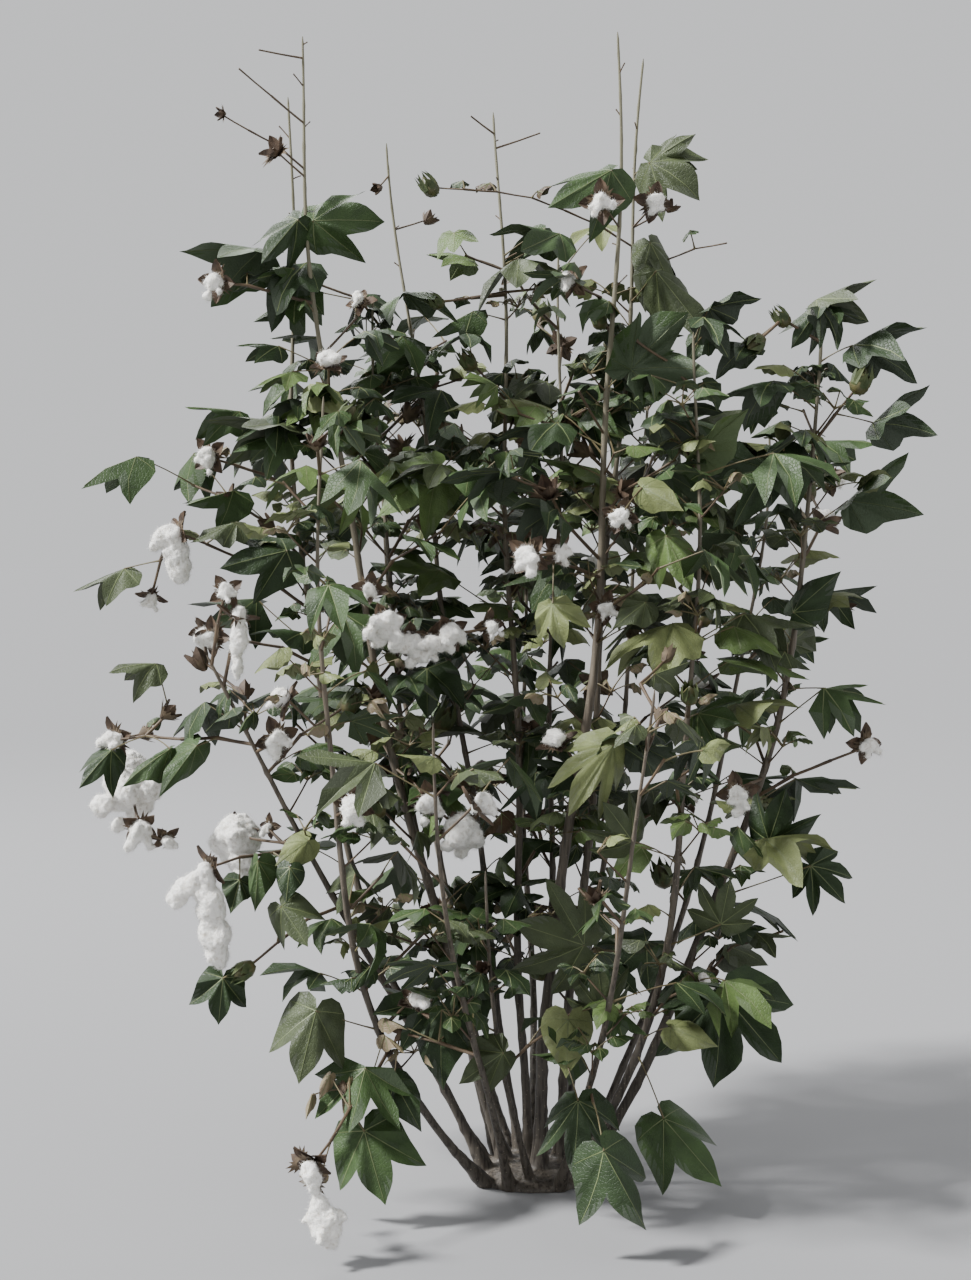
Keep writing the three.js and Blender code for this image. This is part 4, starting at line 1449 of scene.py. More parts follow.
@dataclass(frozen=True)
class Blade:
    """One bent blade: its folds, droop and twist in radians, ripple and pleat in shares of its length."""

    leaf: Leaf
    folds: Pair
    droop: float
    ripple: float
    curl: float
    pleat: float
    twist: float

    THICK = 0.5
    LIFT = 0.35
    RIB = 1.3
    VEIN_START = 0.02
    VEIN_END = 0.93
    VEIN_HALF = (0.7, 0.22)
    CRIMP = 0.55
    RIPPLES = 3
    CRIMPS = 11
    LEAST_DROOP = 0.02

    def axes(self) -> Points:
        """Lay its frame, with the bend's chord on the line from foot to tip.

        Returns:
            Its ways ahead, aside and up, as rows.
        """
        along = unit(self.leaf.tip - self.leaf.foot)
        aside = unit(np.cross(self.leaf.facing, along))
        upper = np.cross(along, aside)
        half = self.droop / 2
        ahead = along * math.cos(half) + upper * math.sin(half)
        return np.array([ahead, aside, np.cross(ahead, aside)])

    def bent(self, form: Form, flat: Points, lift: float = 0.0) -> Points:
        """Bend flat points into the blade's shape.

        Args:
            form: the blade's form.
            flat: rows of shares of the length ahead and aside.
            lift: millimetres to raise them off the surface.

        Returns:
            The points in place.
        """
        ahead, aside = flat[:, 0], flat[:, 1]
        wide = np.abs(aside)
        slope = np.where(aside > 0, *self.folds) + self.curl * wide
        radius = np.hypot(ahead, aside)
        angle = np.arctan2(aside, ahead)
        phase = self.leaf.keys[-1]
        rise = self.ripple * radius**2 * np.sin(self.RIPPLES * angle + phase)
        rise += self.ripple * self.CRIMP * radius**3 * np.sin(self.CRIMPS * angle + 2 * phase)
        rise += self.pleat * radius * np.cos(angle * 360 / form.period)
        rise += lift / self.leaf.length - wide * np.sin(slope)
        level = np.sign(aside) * wide * np.cos(slope)
        cos, sin = np.cos(self.twist * ahead), np.sin(self.twist * ahead)
        level, rise = level * cos - rise * sin, level * sin + rise * cos
        bend = self.droop * ahead
        reach = 1 / max(self.droop, self.LEAST_DROOP)
        place = np.stack([
            reach * np.sin(bend) + rise * np.sin(bend),
            level,
            rise * np.cos(bend) - reach * (1 - np.cos(bend)),
        ], axis=1)
        return self.leaf.foot + (place @ self.axes()) * self.leaf.length

    def shell(self, form: Form, near: bool) -> Shape:
        """The blade as a thin closed shell."""
        flat, faces, rim = form.fine() if near else form.plain()
        return sheet_shell(self.bent(form, flat), self.bent(form, flat, -self.THICK), faces, rim)

    def veins(self, form: Form, near: bool) -> list[Shape]:
        """Shape the midrib and the main veins: flat and pale above, and raised as ribs below.

        Args:
            form: the blade's form.
            near: whether it is seen from near by.

        Returns:
            Their shapes.
        """
        sides = [(angle * side, reach) for angle, reach in form.veins for side in (1, -1)]
        rings = form.FINE_RINGS[:-1] if near else (form.INNER_RING,)
        shares = np.array([self.VEIN_START, *rings, self.VEIN_END])
        return [self.vein(form, math.radians(angle), shares * reach) for angle, reach in [(0, 1.0), *sides]]

    def vein(self, form: Form, angle: float, shares: Points) -> Shape:
        """Shape one vein.

        Args:
            form: the blade's form.
            angle: its angle from the midrib.
            shares: the shares of the blade's length where it crosses the blade's rings.

        Returns:
            Its shape, from the foot outwards.
        """
        way = np.array([math.cos(angle), math.sin(angle)])
        across = np.array([-way[1], way[0]])
        shares = shares[:, None]
        half = np.linspace(*self.VEIN_HALF, len(shares))[:, None] / self.leaf.length
        rows = [
            self.bent(form, shares * way + half * across, self.LIFT),
            self.bent(form, shares * way - half * across, self.LIFT),
            self.bent(form, shares * way, -self.RIB),
        ]
        points = np.stack(rows, axis=1).reshape(-1, 3)
        last = len(points) - 3
        faces: Faces = [(2, 1, 0), (last, last + 1, last + 2)]
        for start in range(0, last, 3):
            for one, two in ((0, 1), (1, 2), (2, 0)):
                faces.append((start + one, start + two, start + 3 + two, start + 3 + one))
        return points, faces


@dataclass(frozen=True)
class Bends:
    """The least and the most of each bend of a kind of blade."""

    droop: Pair
    ripple: Pair
    curl: Pair
    pleat: Pair
    twist: Pair

    LEAN = 0.25
    DRY_DROOP = 0.5
    DRY_RIPPLE = 0.06
    DRY_CURL = 0.9

    def blade(self, leaf: Leaf, fold: float, dry: float) -> Blade:
        """Bend a leaf by its own choices.

        Args:
            leaf: the leaf.
            fold: the slope of its two halves.
            dry: 1 where the leaf is dry and curls up, and else 0.

        Returns:
            The bent blade.
        """
        keys = leaf.keys
        lean = pick(keys, Choice.CURL, -self.LEAN, self.LEAN)
        return Blade(
            leaf,
            (fold + lean, fold - lean),
            pick(keys, Choice.DROOP, *self.droop) + self.DRY_DROOP * dry,
            pick(keys, Choice.RIPPLE, *self.ripple) + self.DRY_RIPPLE * dry,
            pick(keys, Choice.SPREAD, *self.curl) + self.DRY_CURL * dry,
            pick(keys, Choice.LUMP, *self.pleat),
            pick(keys, Choice.TILT, *self.twist),
        )


class Tint(Enum):
    """The plain tints that are dealt out to the leaves by spray, and how common each is."""

    DEEP = ((0.020, 0.037, 0.012), 30)
    MID = ((0.034, 0.062, 0.018), 30)
    DULL = ((0.050, 0.065, 0.028), 15)
    FRESH = ((0.078, 0.122, 0.034), 11)
    PALE = ((0.150, 0.175, 0.068), 11)
    BRONZE = ((0.066, 0.042, 0.023), 2)
    DRY = ((0.200, 0.158, 0.096), 10)

    @classmethod
    def of(cls, keys: Keys) -> "Tint":
        """Deal out a tint.

        Args:
            keys: the keys of a leaf.

        Returns:
            The tint of the spray that the leaf belongs to.
        """
        left = draw(*keys[:2], Choice.TINT) * sum(tint.value[1] for tint in cls)
        for tint in cls:
            left -= tint.value[1]
            if left < 0:
                return tint
        return cls.DEEP


@dataclass
class Foliage:
    """All the leaves: blades in a piece for each tint, their veins and their stalks."""

    leaves: list[Leaf]
    stalk_radii: tuple[float, ...] = (1.7, 1.0, 0.9, 0.9, 1.2)
    stalk_arches: Pair = (-0.04, 0.14)
    stalk_sides: int = 5
    calm: Bends = Bends(
        droop=(0.15, 0.7), ripple=(0.04, 0.1), curl=(0.0, 0.6), pleat=(-0.17, -0.05), twist=(-0.3, 0.3))
    free: Bends = Bends(
        droop=(0.1, 1.2), ripple=(0.03, 0.1), curl=(-0.3, 0.9), pleat=(-0.17, 0.02), twist=(-0.8, 0.8))
    folds: Pair = (0.2, 0.95)
    dry_fold: float = 0.3
    five_shares: Pair = (0.3, 0.75)
    large: float = 84
    small: float = 50
    shrunk: float = 0.68
    most_light: float = 58
    worn_heights: Pair = (600, 1000)
    worn_front: float = 60
    worn_share: float = 0.45
    worn_pale: float = 0.6
    vein_finish: TwigFinish = TwigFinish("leaf_vein", (0.085, 0.112, 0.042), (0.150, 0.180, 0.075))
    stalk_finish: TwigFinish = TwigFinish("leaf_stalk", (0.080, 0.056, 0.028), (0.150, 0.130, 0.060))

    def tint(self, leaf: Leaf) -> Tint:
        """Tint a leaf as its spray, but only small leaves are light, and many in front are worn.

        Args:
            leaf: the leaf.

        Returns:
            Its tint.
        """
        if leaf.look:
            return Tint[leaf.look.split()[0].upper()]
        tint = Tint.of(leaf.keys)
        if leaf.length > self.most_light:
            return Tint.MID if tint in (Tint.BRONZE, Tint.DRY, Tint.PALE) else tint
        low, high = self.worn_heights
        worn = draw(*leaf.keys, Choice.TINT) / self.worn_share
        if low < leaf.foot[2] < high and leaf.foot[1] < self.worn_front and worn < 1:
            return Tint.PALE if worn < self.worn_pale else Tint.DRY
        return tint

    def form(self, leaf: Leaf, near: bool) -> Form:
        """Choose a leaf's form: young ones are whole, and more large ones have five lobes.

        Args:
            leaf: the leaf.
            near: whether it is seen from near by.

        Returns:
            Its form.
        """
        if leaf.look:
            lobes = int(leaf.look.split()[1])
        elif leaf.length < self.small:
            lobes = 1
        else:
            five = self.five_shares[leaf.length > self.large]
            lobes = 5 if draw(*leaf.keys, Choice.FORM) < five else 3
        kinds = {1: "YOUNG", 3: "THREE", 5: "FIVE"}
        return LeafForm[kinds[lobes] + "_NEAR" * near].value

    def blade(self, leaf: Leaf, dry: float) -> Blade:
        """Bend a leaf: those that stand out are calm, and the others fold, droop and twist.

        Args:
            leaf: the leaf.
            dry: 1 for a dry leaf and 0 for any other.

        Returns:
            The bent blade.
        """
        if leaf.fold is not None:
            return self.calm.blade(leaf, leaf.fold, 0.0)
        fold = pick(leaf.keys, Choice.FOLD, *self.folds) + self.dry_fold * dry
        return self.free.blade(leaf, fold, dry)

    def build(self) -> list[tuple[Piece, Material, Slot]]:
        """Build and dress the pieces.

        Returns:
            Each piece with its material and slot.
        """
        blades = {tint: MeshBag() for tint in Tint}
        veins = MeshBag()
        stalks = MeshBag()
        for leaf in self.leaves:
            near = leaf.keys[0] == SEEN_LEAF_KEY
            tint = self.tint(leaf)
            form = self.form(leaf, near)
            if tint is Tint.DRY:
                leaf = replace(leaf, tip=leaf.foot + (leaf.tip - leaf.foot) * self.shrunk)
            blade = self.blade(leaf, float(tint is Tint.DRY))
            blades[tint].add_sheet(blade.shell(form, near))
            for vein in blade.veins(form, near):
                veins.add(vein)
            stalks.add(self.stalk(leaf))
        made = []
        for tint, bag in blades.items():
            name = tint.name.lower()
            finish = LeafFinish(f"leaf_{name}", tint.value[0])
            made.append((bag.piece(f"leaves_{name}", 55), finish.material(), Slot.FOLIAGE))
        made.append((veins.piece("leaf_veins", 30), self.vein_finish.material(), Slot.FOLIAGE))
        made.append((stalks.piece("leaf_stalks", 60), self.stalk_finish.material(), Slot.FOLIAGE))
        return made

    def stalk(self, leaf: Leaf) -> Shape:
        """Shape a stalk.

        Args:
            leaf: its leaf.

        Returns:
            The stalk from the twig to the blade's foot, arched a little.
        """
        length = length_of(leaf.foot - leaf.root)
        arch = pick(leaf.keys, Choice.DROOP, *self.stalk_arches) * length
        points = curve(leaf.root, leaf.foot, arch, len(self.stalk_radii) - 1)
        return tube(points, np.array(self.stalk_radii), self.stalk_sides)


# Fruit


@dataclass(frozen=True)
class Turned:
    """A place and three ways that a shape made along +Z is put on."""

    place: Point
    axes: Points

    @classmethod
    def along(cls, place: Point, way: Point, turn: float) -> "Turned":
        """Turn a frame.

        Args:
            place: where it stands.
            way: the way that its Z axis runs along.
            turn: its turn about that, in radians.

        Returns:
            The turned place.
        """
        way = unit(way)
        side = square_to(way)
        out = np.cross(way, side)
        right = side * math.cos(turn) + out * math.sin(turn)
        return cls(place, np.array([right, np.cross(way, right), way]))

    def put(self, points: Points) -> Points:
        """Points moved from the shape's own frame to the plant's."""
        return self.place + points @ self.axes

    def lowered(self, size: float, share: float) -> "Turned":
        """The same frame, further back along its Z way by a share of a size."""
        return Turned(self.place - self.axes[2] * size * share, self.axes)


@dataclass(frozen=True)
class Valve:
    """One woody valve of an opened boll, a pointed boat that leans out, its angles in radians."""

    length: float
    lean: float
    bend: float

    WIDTHS = (0.12, 0.26, 0.31, 0.22, 0.02)
    CUP = 0.16
    THICK = 0.9
    HOLLOWS = (0.15, 0.8)

    def shape(self, around: float) -> Shape:
        """Shape the valve.

        Args:
            around: its angle round the axis.

        Returns:
            The valve's closed shell.
        """
        rows = len(self.WIDTHS)
        angles = self.lean + self.bend * np.linspace(0, 1, rows)
        step = self.length / (rows - 1)
        out = np.concatenate([[0], np.cumsum(np.sin(angles[1:]) * step)])
        up = np.concatenate([[0], np.cumsum(np.cos(angles[1:]) * step)])
        spine = np.stack([out, np.zeros(rows), up], axis=1)
        normal = np.stack([np.cos(angles), np.zeros(rows), -np.sin(angles)], axis=1)
        first, spread = self.HOLLOWS
        outer = []
        for row, width in enumerate(self.WIDTHS):
            hollow = self.CUP * self.length * math.sin(math.pi * (first + spread * row / rows))
            for side in (-1, 0, 1):
                aside = np.array([0, side * width * self.length, 0])
                outer.append(spine[row] + normal[row] * hollow * (1 - abs(side)) + aside)
        inner = np.array(outer) - np.repeat(normal, 3, axis=0) * self.THICK
        starts = [3 * row + side for row in range(rows - 1) for side in (0, 1)]
        faces = [(start + 3, start + 4, start + 1, start) for start in starts]
        last = 3 * rows - 3
        sides = [corner for start in range(3, last, 3) for corner in (start, start + 2)]
        rim = [0, 1, 2, *sides, last, last + 1, last + 2]
        points, shell = sheet_shell(np.array(outer), inner, faces, rim)
        return turned(points, around), shell


@dataclass(frozen=True)
class Bract:
    """One of the fringed bracts under a boll, a heart-shaped scale with long teeth.

    Its lean and bend are in radians, and its bend is less than 0 where it clasps the boll.
    """

    length: float
    lean: float
    bend: float

    TEETH = 8
    SPAN = 74.0
    ROOT = 0.1
    LEAST = 0.22
    MOST_TURN = 1.25
    THICK = 0.4
    TAPER = 0.42
    NOTCH = 0.62
    HEART = 0.36

    def shape(self, around: float) -> Shape:
        """Shape the bract.

        Args:
            around: its angle round the axis.

        Returns:
            The bract's closed shell.
        """
        count = 2 * self.TEETH + 1
        angles = np.radians(np.linspace(-self.SPAN, self.SPAN, count))
        long = 1 - self.TAPER * np.abs(np.sin(angles))
        radii = np.where(np.arange(count) % 2, long, long * self.NOTCH)
        ways = np.stack([np.cos(angles), np.sin(angles)], axis=1)
        flat = np.concatenate([[[0.0, 0.0]], ways * self.HEART, ways * radii[:, None]])
        faces: Faces = [(0, i, i + 1) for i in range(1, count)]
        faces += [(i, i + count, i + count + 1, i + 1) for i in range(1, count)]
        rim = [0, 1, count, *range(count + 1, 2 * count + 1)]
        points, shell = sheet_shell(self.bent(flat, 0.0), self.bent(flat, self.THICK), faces, rim)
        return turned(points, around), shell

    def bent(self, flat: Points, inwards: float) -> Points:
        """Lean flat points out from the axis and wrap them round it.

        Args:
            flat: rows of shares of the length ahead and aside.
            inwards: millimetres to move them towards the axis.

        Returns:
            The points in place.
        """
        ahead, aside = flat[:, 0], flat[:, 1]
        angle = self.lean + self.bend * ahead
        away = self.ROOT + ahead * np.sin(angle)
        turn = np.clip(aside / np.maximum(away, self.LEAST), -self.MOST_TURN, self.MOST_TURN)
        out = self.length * away - inwards
        up = self.length * ahead * np.cos(angle)
        return np.stack([out * np.cos(turn), out * np.sin(turn), up], axis=1)


@dataclass
class Lint:
    """Lint as one matted skin over many tufts, with loose fibres standing off it.

    Its grain is the width of the skin's faces, and its fibres their number for each point of the skin.
    """

    name: str
    grain: float
    fibres: float
    fibre_half: float = 0.17
    fibre_lengths: Pair = (2.0, 7.0)
    fibre_root: float = 0.8
    fibre_stray: float = 0.65
    fibre_sink: float = 0.25
    matting: tuple[Pair, ...] = ((12.0, 2.5), (4.5, 1.5))
    stretches: Pair = (0.75, 1.3)
    rises: Pair = (-60, 60)
    tufts: MeshBag = field(default_factory=MeshBag)

    def tuft(self, centre: Point, radius: float, keys: Keys, ball: Shape) -> None:
        """Add one tuft, a ball that is drawn out in its own way.

        Args:
            centre: its middle.
            radius: its mean radius.
            keys: the keys of its choices.
            ball: a ball of radius 1.
        """
        points, faces = ball
        stretch = [between(*self.stretches, draw(*keys, Choice.LUMP, axis)) for axis in range(3)]
        way = heading(draw(*keys) * 360, between(*self.rises, draw(*keys, 1)))
        placed = Turned.along(centre, way, 0.0)
        self.tufts.add((placed.put(points * np.array(stretch) * radius), faces))

    def relief(self, place: Point) -> float:
        """How far the matted surface stands up at a place."""
        return sum(roughly(place, scale) * height for scale, height in self.matting)

    def skin(self) -> Piece:
        """Mat the tufts together.

        Returns:
            The skin, its surface rough.
        """
        piece = self.tufts.piece(self.name, 180)
        merge_skin(piece, self.grain, 9)
        raise_skin(piece, self.relief)
        return piece

    def loose(self, skin: Piece) -> Piece:
        """Stand fine loose fibres on the skin.

        Args:
            skin: the skin.

        Returns:
            The fibres, thin needles that lean down.
        """
        count = len(skin.data.vertices)
        chance = np.random.default_rng(SEED)
        chosen = chance.choice(count, int(count * self.fibres), replace=False)
        way = rows_of(skin, "normal")[chosen]
        roots = rows_of(skin, "co")[chosen] / MM - way * self.fibre_root
        way = way + chance.normal(0, self.fibre_stray, way.shape) - UP * self.fibre_sink
        way = way / np.linalg.norm(way, axis=1, keepdims=True)
        side = np.cross(way, chance.normal(0, 1, way.shape))
        side = side / np.linalg.norm(side, axis=1, keepdims=True) * self.fibre_half
        out = np.cross(way, side)
        long = chance.uniform(*self.fibre_lengths, (len(roots), 1))
        corners = [roots + side, roots - side / 2 + out, roots - side / 2 - out, roots + way * long]
        bag = MeshBag()
        bag.points.append(np.stack(corners, axis=1).reshape(-1, 3))
        bag.count = 4 * len(roots)
        for start in range(0, bag.count, 4):
            one, two, three, tip = start, start + 1, start + 2, start + 3
            bag.faces += [(three, two, one), (one, two, tip), (two, three, tip), (three, one, tip)]
        return bag.piece(self.name + "_fibres", 180)


@dataclass
class Bolls:
    """All the fruit: lint, opened valves, bracts and closed bolls."""

    fruits: list[Fruit]
    boll_most: float = 36
    valve_share: float = 0.85
    bract_share: float = 0.66
    base_share: float = 0.4
    valve_bends: Pair = (0.2, 0.9)
    bract_bends: Pair = (0.3, 1.3)
    valve_count: int = 4
    bract_count: int = 3
    big: float = 52
    heavy: float = 80
    lock_counts: tuple[int, int] = (4, 7)
    core_shares: Pair = (0.56, 0.62)
    lock_rises: Pair = (0.4, 1.1)
    lock_lengths: Pair = (0.6, 0.95)
    lock_widths: Pair = (0.75, 1.2)
    lock_step: float = 0.6
    lock_end: float = 0.68
    lock_stray: float = 0.5
    lock_root: float = 0.2
    drops: Pair = (0.7, 1.1)
    drop_aside: float = 0.45
    drop_width: float = 0.4
    tassel_locks: tuple[Pair, ...] = ((0, 35), (110, -10), (180, 20), (260, -25), (330, -50))
    swell_at: float = 0.66
    swell_reach: float = 0.27
    swell_width: float = 0.085
    overlap: float = 0.3
    rope_stray: float = 0.4
    tuft_share: float = 0.46
    hang: float = 0.4
    to_viewer: Triple = (0.0, -0.8, -0.3)
    closed_profile: tuple[Pair, ...] = (
        (-0.46, 0.1), (-0.38, 0.27), (-0.2, 0.37), (0.02, 0.37), (0.22, 0.27), (0.4, 0.13), (0.56, 0.02))
    grooves: int = 5
    groove_depth: float = 0.07
    near: Lint = field(default_factory=lambda: Lint("lint_near", 2.0, 0.7))
    far: Lint = field(default_factory=lambda: Lint("lint", 2.4, 0.8))
    bags: dict[str, MeshBag] = field(default_factory=lambda: {name: MeshBag() for name in Bolls.HUSKS})
    ball: Shape | None = None

    HUSKS = {
        "boll_valves": HuskFinish("boll_valve", (0.038, 0.025, 0.017), (0.125, 0.082, 0.052)),
        "dry_bracts": HuskFinish("dry_bract", (0.050, 0.036, 0.022), (0.145, 0.105, 0.064), 0.6),
        "green_bracts": HuskFinish("green_bract", (0.034, 0.052, 0.018), (0.085, 0.105, 0.038)),
        "closed_bolls": HuskFinish("closed_boll", (0.045, 0.052, 0.020), (0.105, 0.092, 0.036), 0.3),
    }
    ROPES = {
        FruitKind.STRAND: [
            ((0.16, 0.0, -1.0), (8, 12, 15, 15, 14, 17, 15, 6), Choice.ROPE),
            ((-0.32, 0.0, -0.32), (6, 10, 12, 10), Choice.SIDE_LOCK),
        ],
        FruitKind.RIBBON: [((-0.04, 0.0, -1.0), (7, 9, 5.5, 10, 11, 9.5, 4.5, 8, 7, 3), Choice.ROPE)],
        FruitKind.TASSEL: [((0.3, 0.0, -1.0), (12, 11, 6, 8, 15, 17, 13, 5), Choice.ROPE)],
    }

    def build(self) -> list[tuple[Piece, Material, Slot]]:
        """Build and dress the pieces.

        Returns:
            Each piece with its material and slot.
        """
        self.ball = self.plain_ball()
        makers = {
            FruitKind.OPEN: self.open_boll,
            FruitKind.CLOSED: self.closed_boll,
            FruitKind.DRY: self.dry_boll,
        }
        for fruit in self.fruits:
            makers.get(fruit.kind, self.hanging)(fruit)
        lint = LintFinish().material()
        made = []
        for part in (self.near, self.far):
            skin = part.skin()
            made += [(skin, lint, Slot.LINT), (part.loose(skin), lint, Slot.LINT)]
        for name, bag in self.bags.items():
            sharp = 60 if name == "closed_bolls" else 40
            made.append((bag.piece(name, sharp), self.HUSKS[name].material(), Slot.HUSK))
        return made

    def plain_ball(self) -> Shape:
        """Model a start for tufts of lint.

        Returns:
            A ball of triangles of radius 1.
        """
        bpy.ops.object.select_all(action="DESELECT")
        bpy.ops.mesh.primitive_ico_sphere_add(subdivisions=2, radius=1)
        start = bpy.context.object
        points = np.array([tuple(vertex.co) for vertex in start.data.vertices])
        faces = [tuple(face.vertices) for face in start.data.polygons]
        bpy.data.objects.remove(start)
        return points, faces

    def stray(self, keys: Keys) -> Point:
        """A small offset that the keys decide, up to a half each way."""
        return np.array([draw(*keys, axis) - 0.5 for axis in range(3)])

    def lock(self, lint: Lint, start: Point, line: Point, radius: float, keys: Keys) -> None:
        """Add one lock of lint, a row of tufts that leaves its start along a line and sinks.

        Args:
            lint: the lint that it belongs to.
            start: where it begins.
            line: the way to its far end, before it sinks.
            radius: half its width at the start.
            keys: the keys of its choices.
        """
        length = length_of(line)
        count = max(round(length / (radius * self.lock_step)), 2)
        for tuft in range(count):
            share = tuft / (count - 1)
            stray = self.stray((*keys, tuft)) * radius * self.lock_stray
            place = start + line * share - UP * length * self.hang * share**2 + stray
            swell = between(*self.lock_widths, draw(*keys, tuft, 3))
            lint.tuft(place, radius * between(1.0, self.lock_end, share) * swell, (*keys, tuft), self.ball)

    def open_boll(self, fruit: Fruit) -> None:
        """Add a burst boll: locks of lint held by its opened valves, over three dry bracts.

        Args:
            fruit: the boll.
        """
        keys = fruit.keys
        seen = keys[0] == SEEN_FRUIT_KEY
        lint = self.near if seen else self.far
        tilt = pick(keys, Choice.TILT, -0.9, 0.5)
        axis = fruit.way * 0.5 + np.array(self.to_viewer) if seen else fruit.way + UP * tilt
        placed = Turned.along(fruit.centre, axis, draw(*keys) * math.tau)
        half = fruit.size / 2
        big = fruit.size > self.big
        locks = self.lock_counts[big]
        start = fruit.centre - placed.axes[2] * half * self.lock_root
        lint.tuft(fruit.centre, half * self.core_shares[big], keys, self.ball)
        for lock in range(locks):
            angle = (lock + 0.5 * draw(*keys, lock)) * math.tau / locks
            out = placed.axes[0] * math.cos(angle) + placed.axes[1] * math.sin(angle)
            way = unit(placed.axes[2] * between(*self.lock_rises, draw(*keys, lock, 1)) + out)
            long = half * between(*self.lock_lengths, draw(*keys, lock, 2))
            self.lock(lint, start, way * long, half * self.tuft_share, (*keys, Choice.LOCK + lock))
        if fruit.size > self.heavy:
            self.drop(lint, fruit, half)
        self.husks(fruit, placed, lean=1.05, bract_lean=0.75)

    def drop(self, lint: Lint, fruit: Fruit, half: float) -> None:
        """Let one lock of a large mass hang lower than the others.

        Args:
            lint: the lint that it belongs to.
            fruit: the boll.
            half: half its size.
        """
        side = heading(draw(*fruit.keys, Choice.DROP_TURN) * 360, 0) * half * self.drop_aside
        line = side * 0.3 - UP * half * pick(fruit.keys, Choice.DROP_LENGTH, *self.drops)
        start = fruit.centre + side - UP * half * self.lock_root
        self.lock(lint, start, line, half * self.drop_width, (*fruit.keys, Choice.DROP))

    def husks(self, fruit: Fruit, placed: Turned, lean: float, bract_lean: float) -> None:
        """Add the husks of an opened boll.

        Args:
            fruit: the boll.
            placed: its frame.
            lean: how far its valves lean out.
            bract_lean: how far its bracts do.
        """
        size = min(fruit.size, self.boll_most)
        valve = Valve(size * self.valve_share, lean, pick(fruit.keys, Choice.SPREAD, *self.valve_bends))
        bract = Bract(size * self.bract_share, bract_lean, pick(fruit.keys, Choice.CURL, *self.bract_bends))
        self.add_husks(placed.lowered(size, self.base_share), valve, bract)

    def add_husks(self, base: Turned, valve: Valve, bract: Bract) -> None:
        """Add a ring of valves over a ring of dry bracts.

        Args:
            base: the frame of the boll's base.
            valve: the valve that repeats.
            bract: the bract that repeats.
        """
        for index in range(self.valve_count):
            points, faces = valve.shape((index + 0.5) * math.tau / self.valve_count)
            self.bags["boll_valves"].add((base.put(points), faces))
        self.add_bracts("dry_bracts", base, bract)

    def add_bracts(self, name: str, base: Turned, bract: Bract) -> None:
        """Add a ring of bracts.

        Args:
            name: the piece that they go to.
            base: the frame of the boll's base.
            bract: the bract that repeats.
        """
        for index in range(self.bract_count):
            points, faces = bract.shape((index + 0.3) * math.tau / self.bract_count)
            self.bags[name].add((base.put(points), faces))

    def hanging(self, fruit: Fruit) -> None:
        """Add a boll whose lint is drawn far down, a tassel's with loose locks round its swelling.

        Args:
            fruit: the boll, its size the length that hangs.
        """
        for way, halves, choice in self.ROPES[fruit.kind]:
            self.rope(fruit, np.array(way) * fruit.size, halves, choice)
        if fruit.kind is FruitKind.TASSEL:
            swell = fruit.centre + np.array(way) * fruit.size * self.swell_at
            for index, lock in enumerate(self.tassel_locks):
                line = heading(*lock) * fruit.size * self.swell_reach
                keys = (*fruit.keys, Choice.SIDE_LOCK + index)
                self.lock(self.near, swell, line, fruit.size * self.swell_width, keys)
        placed = Turned.along(fruit.centre, fruit.way - UP * 0.4, draw(*fruit.keys) * 6)
        self.husks(fruit, placed, lean=0.9, bract_lean=0.7)

    def rope(self, fruit: Fruit, line: Point, halves: tuple[float, ...], choice: Choice) -> None:
        """Add a thick matted rope of lint.

        Args:
            fruit: the boll that it hangs from.
            line: the way to its end.
            halves: half its width at even steps from its top to its end.
            choice: what tells its draws from those of the boll's other ropes.
        """
        count = math.ceil(length_of(line) / (max(halves) * self.overlap))
        for tuft in range(count + 1):
            share = tuft / count
            keys = (*fruit.keys, choice, tuft)
            half = float(np.interp(share * (len(halves) - 1), range(len(halves)), halves))
            place = fruit.centre + line * share + self.stray(keys) * half * self.rope_stray
            self.near.tuft(place, half, keys, self.ball)

    def closed_boll(self, fruit: Fruit) -> None:
        """Add a pointed green boll clasped by its bracts.

        Args:
            fruit: the boll.
        """
        size = fruit.size
        placed = Turned.along(fruit.centre, fruit.way + UP * pick(fruit.keys, Choice.TILT, 0.0, 1.2), 0.0)
        heights, widths = np.array(self.closed_profile).T
        sides = 2 * self.grooves
        angles = np.arange(sides) * math.tau / sides
        grooves = 1 - self.groove_depth * np.cos(angles * self.grooves)
        shape, faces = tube(np.outer(heights, UP) * size, np.outer(widths, grooves) * size, sides)
        self.bags["closed_bolls"].add((placed.put(shape), faces))
        bract = Bract(size * 1.42, lean=0.74, bend=-0.68)
        self.add_bracts("green_bracts", placed.lowered(size, 0.5), bract)

    def dry_boll(self, fruit: Fruit) -> None:
        """Add a shrivelled boll: empty valves that never spread, in curled bracts.

        Args:
            fruit: the boll.
        """
        size = fruit.size
        axis = fruit.way + UP * pick(fruit.keys, Choice.TILT, -0.6, 0.9)
        placed = Turned.along(fruit.centre, axis, draw(*fruit.keys) * 6)
        valve = Valve(size * self.valve_share, lean=0.45, bend=pick(fruit.keys, Choice.SPREAD, -0.3, 0.5))
        bract = Bract(size * 0.85, lean=0.7, bend=pick(fruit.keys, Choice.CURL, -0.5, 0.8))
        self.add_husks(placed.lowered(size, self.base_share), valve, bract)


# Wood


